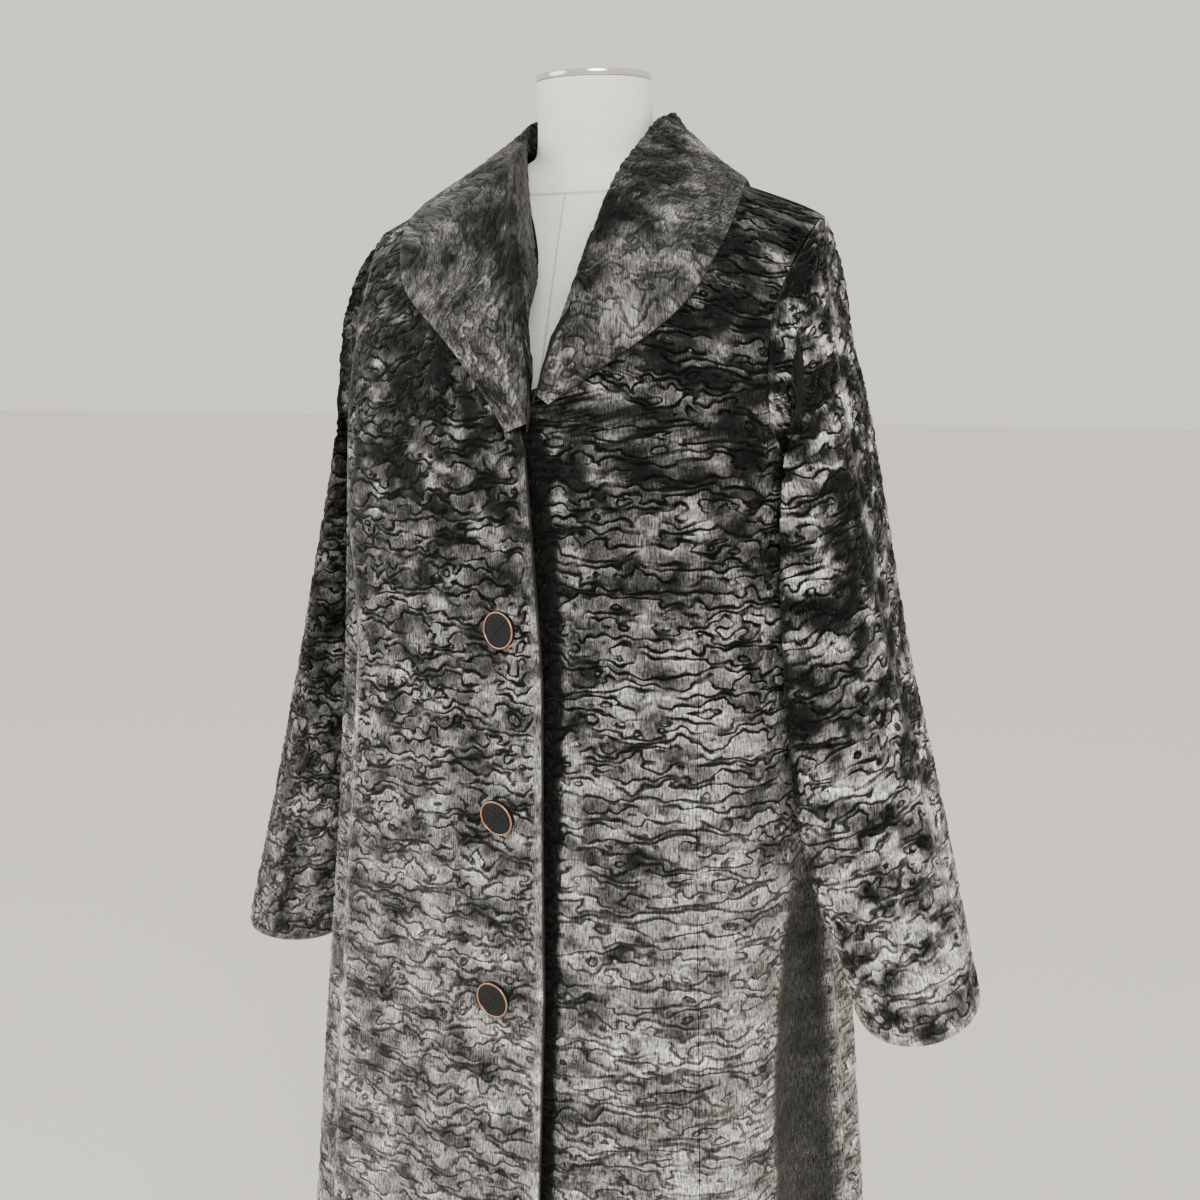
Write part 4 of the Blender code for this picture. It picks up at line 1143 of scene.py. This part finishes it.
def collar_calm(points):
    """Its grooves are shallower than the body's."""
    return np.full(points.shape[:2], 0.62)


def evened(grid, width):
    """Average every point with its neighbours along the first axis; the ends stay."""
    offsets = np.arange(-3 * width, 3 * width + 1)
    weights = np.exp(-0.5 * (offsets / width) ** 2)
    rows = len(grid)
    taken = np.clip(np.arange(rows)[:, None] + offsets, 0, rows - 1)
    average = np.einsum("k,rksc->rsc", weights / weights.sum(), grid[taken])
    from_end = np.minimum(np.arange(rows), np.arange(rows)[::-1])
    share = ease(from_end / (3.0 * width))[:, None, None]
    return grid + share * (average - grid)


def collar_half(side, look):
    """Half a shawl collar: up from the neckline, over the roll, out to its edge."""
    word = "left" if side > 0 else "right"
    rows = np.array(COLLAR_BEHIND + COLLAR_IN_FRONT[word])
    place = np.arange(len(rows), dtype=float)
    along = np.linspace(0.0, len(rows) - 1.0, COLLAR_ROWS + 1)
    at = {key: smooth_rows(place, rows[:, i], along) for i, key in enumerate(COLLAR_COLUMNS)}
    roll = np.stack([at["roll_x"], at["roll_y"], at["roll_z"]], axis=-1)
    edge = on_panels(at["edge_x"], np.radians(at["edge_turn"]), COLLAR_CLEAR)
    flat = (edge - roll) * (1, 1, 0)
    flat = flat / np.linalg.norm(flat, axis=-1, keepdims=True)
    top = roll + np.array([0.0, 0.0, 1.0]) * at["puff"][:, None] * 0.3
    shoulder = 0.5 * (roll + edge) + (flat * 0.8 + (0, 0, 0.6)) * at["puff"][:, None]
    foot = roll - np.array([0, 0, 1.0]) * at["stand"][:, None] - 0.1 * flat * at["stand"][:, None]
    path = [foot, 0.5 * (foot + roll) - 0.05 * flat * at["stand"][:, None]]
    for t in np.linspace(0.0, 1.0, 7):
        path.append(((1 - t)**3 * top.T + 3 * (1 - t)**2 * t * (0.6 * top + 0.4 * shoulder).T
                     + 3 * (1 - t) * t**2 * shoulder.T + t**3 * edge.T).T)
    outer = np.array(path).transpose(1, 0, 2)
    outer[..., 0] += HALF_SEAM
    outer[..., 0] *= side
    outer[:, 2:] = over_panels(outer[:, 2:], side < 0)
    low = along > len(rows) - 2.5
    outer[low, :2] = over_panels(outer[low, :2], side < 0)
    outer[:3, :, 0] = side * np.maximum(side * outer[:3, :, 0], HALF_SEAM)
    for axis, length in enumerate(COLLAR_LENGTHS):
        outer = refined(outer, rounded_count(length, FINE), axis)
    outer = evened(outer, 6)[::-side]
    return cloth_piece(f"collar_{word}", outer, grid_normals(outer), COLLAR_CLOTH, look,
                       collar_painted_light)


COLLAR_LOOK = {"contrast": 0.50, "bands": {"last": -0.004}, "calm": collar_calm}
collars = [
    collar_half(1, {"seed": 83, "turn": 30.0, "curl": 1.3, **COLLAR_LOOK}),
    collar_half(-1, {"seed": 97, "turn": 80.0, "curl": 0.8, **COLLAR_LOOK}),
]

# %% [markdown]
# ## Buttons
#
# A turned black disc on a shank, a copper bead round its face, and a face with a raised
# weave.  Each one droops on its thread by its own angles.

# %%
def turned(name, profile, finish, steps=64):
    """Turn a profile of (radius, height) pairs about Z, listed from the top down."""
    angles = np.linspace(0.0, 2 * pi, steps, endpoint=False)
    closes = profile[0] == profile[-1]
    rings = profile[:-1] if closes else profile
    points = [np.stack([radius * np.cos(angles), radius * np.sin(angles),
                        np.full(steps, height)], axis=-1) for radius, height in rings]
    return link_mesh(name, points, closed_faces(len(rings), steps, closes), finish, 40)


def woven_face(name, radius, height):
    """Disc with a raised diamond weave: |sin a sin b|^0.7 on crossed diagonals a and b."""
    rings = np.append(np.linspace(0.0004, radius, 46), radius)
    angles = np.linspace(0.0, 2 * pi, 120, endpoint=False)
    r, turn = np.meshgrid(rings, angles, indexing="ij")
    x, y = r * np.cos(turn), r * np.sin(turn)
    a, b = pi * (x + y) / WEAVE_PITCH, pi * (x - y) / WEAVE_PITCH
    weave = np.abs(np.sin(a) * np.sin(b)) ** 0.7
    z = height + WEAVE_RISE * weave * ease((radius - r) / 0.001)
    z[-1] -= FACE_THICKNESS
    faces = closed_faces(len(rings), len(angles))
    return link_mesh(name, np.stack([x, y, z], axis=-1), faces, weave_blue, 70)


# Profile of a button, as shares of its radius, and of its thickness above the stand.
BUTTON_PROFILE = ((0.86, 0.96), (0.90, 0.80), (0.99, 0.72), (1.0, 0.45), (0.97, 0.12), (0.90, 0.0))
BEAD_PLACE = (0.945, 0.80)
FACE_PLACE = (0.87, 0.985)
SUNK_IN_PILE = 0.0013


def button(number, row):
    at = dict(zip(BUTTON_COLUMNS, row))

    def spot_on(share, height):
        return BUTTON_RADIUS * share, BUTTON_STAND + BUTTON_THICKNESS * height

    outline = [spot_on(*pair) for pair in BUTTON_PROFILE]
    body = turned(f"shown_button_{number}",
                  [(CENTRE, outline[0][1]), *outline, (SHANK_RADIUS, BUTTON_STAND - 0.0004),
                   (SHANK_RADIUS, 0.0), (CENTRE, 0.0)], horn)
    bead_x, bead_z = spot_on(*BEAD_PLACE)
    bead = [(bead_x + BEAD * sin(a), bead_z + BEAD + BEAD * cos(a))
            for a in np.linspace(0.0, 2 * pi, 17)]
    rim = turned(f"shown_rim_{number}", [*bead[:-1], bead[0]], copper, 96)
    face = woven_face(f"shown_face_{number}", *spot_on(*FACE_PLACE))
    spot = lapped(body_point(angle_at(at["x"], at["z"]), np.array(at["z"])))
    seat = (Matrix.Translation(Vector(spot) - Vector((0.0, SUNK_IN_PILE, 0.0)))
            @ Matrix.Rotation(radians(at["yaw"]), 4, "Z")
            @ Matrix.Rotation(radians(90 + at["pitch"]), 4, "X"))
    for piece in (body, rim, face):
        piece.data.transform(seat)
    shown(body, f"button_{number}")
    shown(rim, f"button_rim_{number}")
    shown(face)


for number, row in enumerate(BUTTONS, start=1):
    button(number, row)

# %% [markdown]
# ## Dress form and stand
#
# The torso's half depth at x, z is depth x (1 - |x / half width|^n)^(1/n), rounded off
# under the shoulders, and the neck is a leaning cylinder that blends into it.  The seams
# down the centre front and round the neck's base are shallow grooves with a dark line.

# %%
def form_depth(x, z, word):
    """Half depth of the torso in front or at its back; -1 above the shoulders."""
    square = form_size("squareness", z)
    inside = np.clip(1.0 - (np.abs(x) / form_size("half_width", z)) ** square, 0.0, 1.0)
    top = shoulder_height(x) - CLOTH - FORM_CLEARANCE
    below = np.clip((top - z) / SHOULDER_ROUND, 0.0, 1.0)
    rounding = np.sqrt(1.0 - (1.0 - below) ** 2)
    depth = form_size(word, z) * inside ** (1.0 / square) * rounding
    return np.where(z < top, depth, -1.0)


def form_reach(angle, z):
    """Distance from the axis to the torso's surface."""
    def inside(reach):
        x, y = reach * np.sin(angle), -reach * np.cos(angle)
        depth = np.where(y < 0, form_depth(x, z, "front"), form_depth(x, z, "back"))
        return (np.abs(y) < depth) & (np.abs(x) < FORM_SHOULDER_END)

    return halved(inside, angle.shape, 0.0, FARTHEST)


FARTHEST = 0.30          # no point of the torso is as far from the axis
FORM_HEIGHTS = ((FORM_BOTTOM_Z, 1.24, 40), (1.245, 1.385, 40), (1.388, 1.424, 37),
                (1.428, NECK_TOP_Z, 20))
FRONT_TURN = 0.30        # radians to both sides of the front with a finer grid
SEAM_DEPTH = 0.0005


def dress_form():
    heights = np.concatenate([np.linspace(*run) for run in FORM_HEIGHTS])
    angles = np.concatenate([np.linspace(-FRONT_TURN, FRONT_TURN, 181),
                             np.linspace(FRONT_TURN, 2 * pi - FRONT_TURN, 140)[1:-1]])
    angle, z = np.meshgrid(angles, heights)
    rise = np.clip((z - NECK_BASE_Z) / (NECK_TOP_Z - NECK_BASE_Z), -0.4, 1.0)
    shift = NECK_BASE_SHIFT * (1.0 - rise)
    radius = NECK_RADIUS + NECK_FLARE * (1.0 - np.clip(rise, 0.0, 1.0)) ** 2
    neck = np.sqrt(radius**2 - (shift * np.sin(angle)) ** 2) - shift * np.cos(angle)
    torso = form_reach(angle, z)
    blend = NECK_BLEND * ease((z - 1.36) / 0.03)
    reach = 0.5 * (torso + neck + np.sqrt((torso - neck) ** 2 + blend**2))
    turn = (angle + pi) % (2 * pi) - pi
    neck_seam = NECK_BASE_Z + 0.004 - 0.006 * np.cos(turn)
    round_line = np.exp(-((z - neck_seam) / 0.0011) ** 2)
    front_line = np.exp(-((turn - 0.02) * reach / 0.0009) ** 2) * (z < neck_seam + 0.001)
    seam = np.maximum(round_line, front_line)
    reach = reach - SEAM_DEPTH * seam
    points = np.stack([reach * np.sin(angle), -reach * np.cos(angle), z], axis=-1)
    points[..., 2] += tan(CAP_TILT) * points[..., 1] * np.clip(rise, 0.0, 1.0)
    faces = [face[::-1] for face in closed_faces(*angle.shape)]
    made = link_mesh("linen_form", points, faces, linen, 50)
    write_attribute(made.data, "seam", seam)
    shown(made, "form_torso")
    return made


LINEN_CAP = ((CENTRE, 0.0030), (0.043, 0.0030), (0.0440, 0.0024), (0.0440, 0.0), (CENTRE, 0.0))
RING_IN = 0.0446
NECK_RING = ((RING_IN, 0.0052), (CAP_RADIUS - 0.0009, 0.0052), (CAP_RADIUS - 0.0003, 0.0049),
             (CAP_RADIUS, 0.0042), (CAP_RADIUS, 0.0010), (CAP_RADIUS - 0.0003, 0.0003),
             (CAP_RADIUS - 0.0009, 0.0), (RING_IN, 0.0), (RING_IN, 0.0052))
POLE_TOP, POLE_LOW = FORM_BOTTOM_Z - SEAM_GAP, HUB_HEIGHT + SEAM_GAP
POLE = ((CENTRE, POLE_TOP), (POLE_RADIUS, POLE_TOP), (POLE_RADIUS, POLE_LOW), (CENTRE, POLE_LOW))
BASE = ((CENTRE, HUB_HEIGHT), (HUB_RADIUS - 0.003, HUB_HEIGHT),
        (HUB_RADIUS - 0.001, HUB_HEIGHT - 0.0007), (HUB_RADIUS, HUB_HEIGHT - 0.003),
        (HUB_RADIUS, 0.026),
        (HUB_RADIUS + 0.004, 0.019), (HUB_RADIUS + 0.012, BASE_HEIGHT + 0.001),
        (BASE_RADIUS - 0.004, BASE_HEIGHT - 0.003), (BASE_RADIUS - 0.001, BASE_HEIGHT - 0.004),
        (BASE_RADIUS, BASE_HEIGHT - 0.006), (BASE_RADIUS, 0.0), (CENTRE, 0.0))

form = dress_form()
tilt = (Matrix.Translation((0.0, 0.0, NECK_TOP_Z + SEAM_GAP))
        @ Matrix.Rotation(CAP_TILT, 4, "X"))
upright = Matrix.Identity(4)
for name, node, slot, profile, finish, steps, seat in (
        ("linen_cap", "neck_cap", "natural_linen", LINEN_CAP, linen, 96, tilt),
        ("chrome_ring", "neck_ring", "chrome", NECK_RING, chrome, 128, tilt),
        ("chrome_pole", "stand_pole", "chrome", POLE, chrome, 64, upright),
        ("chrome_base", "stand_base", "chrome", BASE, chrome, 128, upright)):
    piece = turned(name, profile, finish, steps)
    piece.data.transform(seat)
    shown(piece, node)

# %% [markdown]

# %% [markdown]
# ## Floor, light and camera

# %%
def area_light(name, place, target, size, power, colour):
    lamp = bpy.data.lights.new(name, "AREA")
    lamp.shape = "DISK"
    lamp.size = size
    lamp.energy = power
    lamp.color = colour
    made = linked(name, lamp)
    made.location = place
    made.rotation_euler = (Vector(target) - Vector(place)).to_track_quat("-Z", "Y").to_euler()


def world_light(colour, strength):
    world = bpy.data.worlds.new("studio")
    world.use_nodes = True
    set_inputs(world.node_tree.nodes["Background"],
               {"Color": (*colour, 1.0), "Strength": strength})
    bpy.context.scene.world = world


def photo_camera(azimuth, pitch, roll, distance, height, aside, lens):
    """Camera at the photograph's angle, aimed past the form's axis."""
    data = bpy.data.cameras.new("photo camera")
    data.lens = lens
    data.sensor_width = 36.0
    made = linked("photo camera", data)
    made.matrix_world = (Matrix.Translation((0.0, 0.0, height))
                         @ Matrix.Rotation(radians(azimuth), 4, "Z")
                         @ Matrix.Translation((aside, -distance, 0.0))
                         @ Matrix.Rotation(radians(90.0 + pitch), 4, "X")
                         @ Matrix.Rotation(radians(roll), 4, "Z"))
    bpy.context.scene.camera = made


ground = bpy.data.meshes.new("floor")
ground.from_pydata([(-60, -60, 0), (60, -60, 0), (60, 60, 0), (-60, 60, 0)], [], [(0, 1, 2, 3)])
ground.materials.append(plain("pale floor", (0.90, 0.88, 0.81), 0.9, 0.0, 0.2))
linked("floor", ground)
area_light("key", (1.6, -2.6, 2.6), (0.0, 0.0, 1.1), 1.8, 76.0, (1.0, 0.98, 0.95))
area_light("fill", (-2.4, -2.0, 1.8), (0.0, 0.0, 1.0), 2.2, 26.0, (0.97, 0.98, 1.0))
world_light((0.72, 0.69, 0.63), 1.55)
photo_camera(azimuth=25.0, pitch=-7.7, roll=0.5, distance=1.34, height=1.242, aside=0.0091,
             lens=46.5)
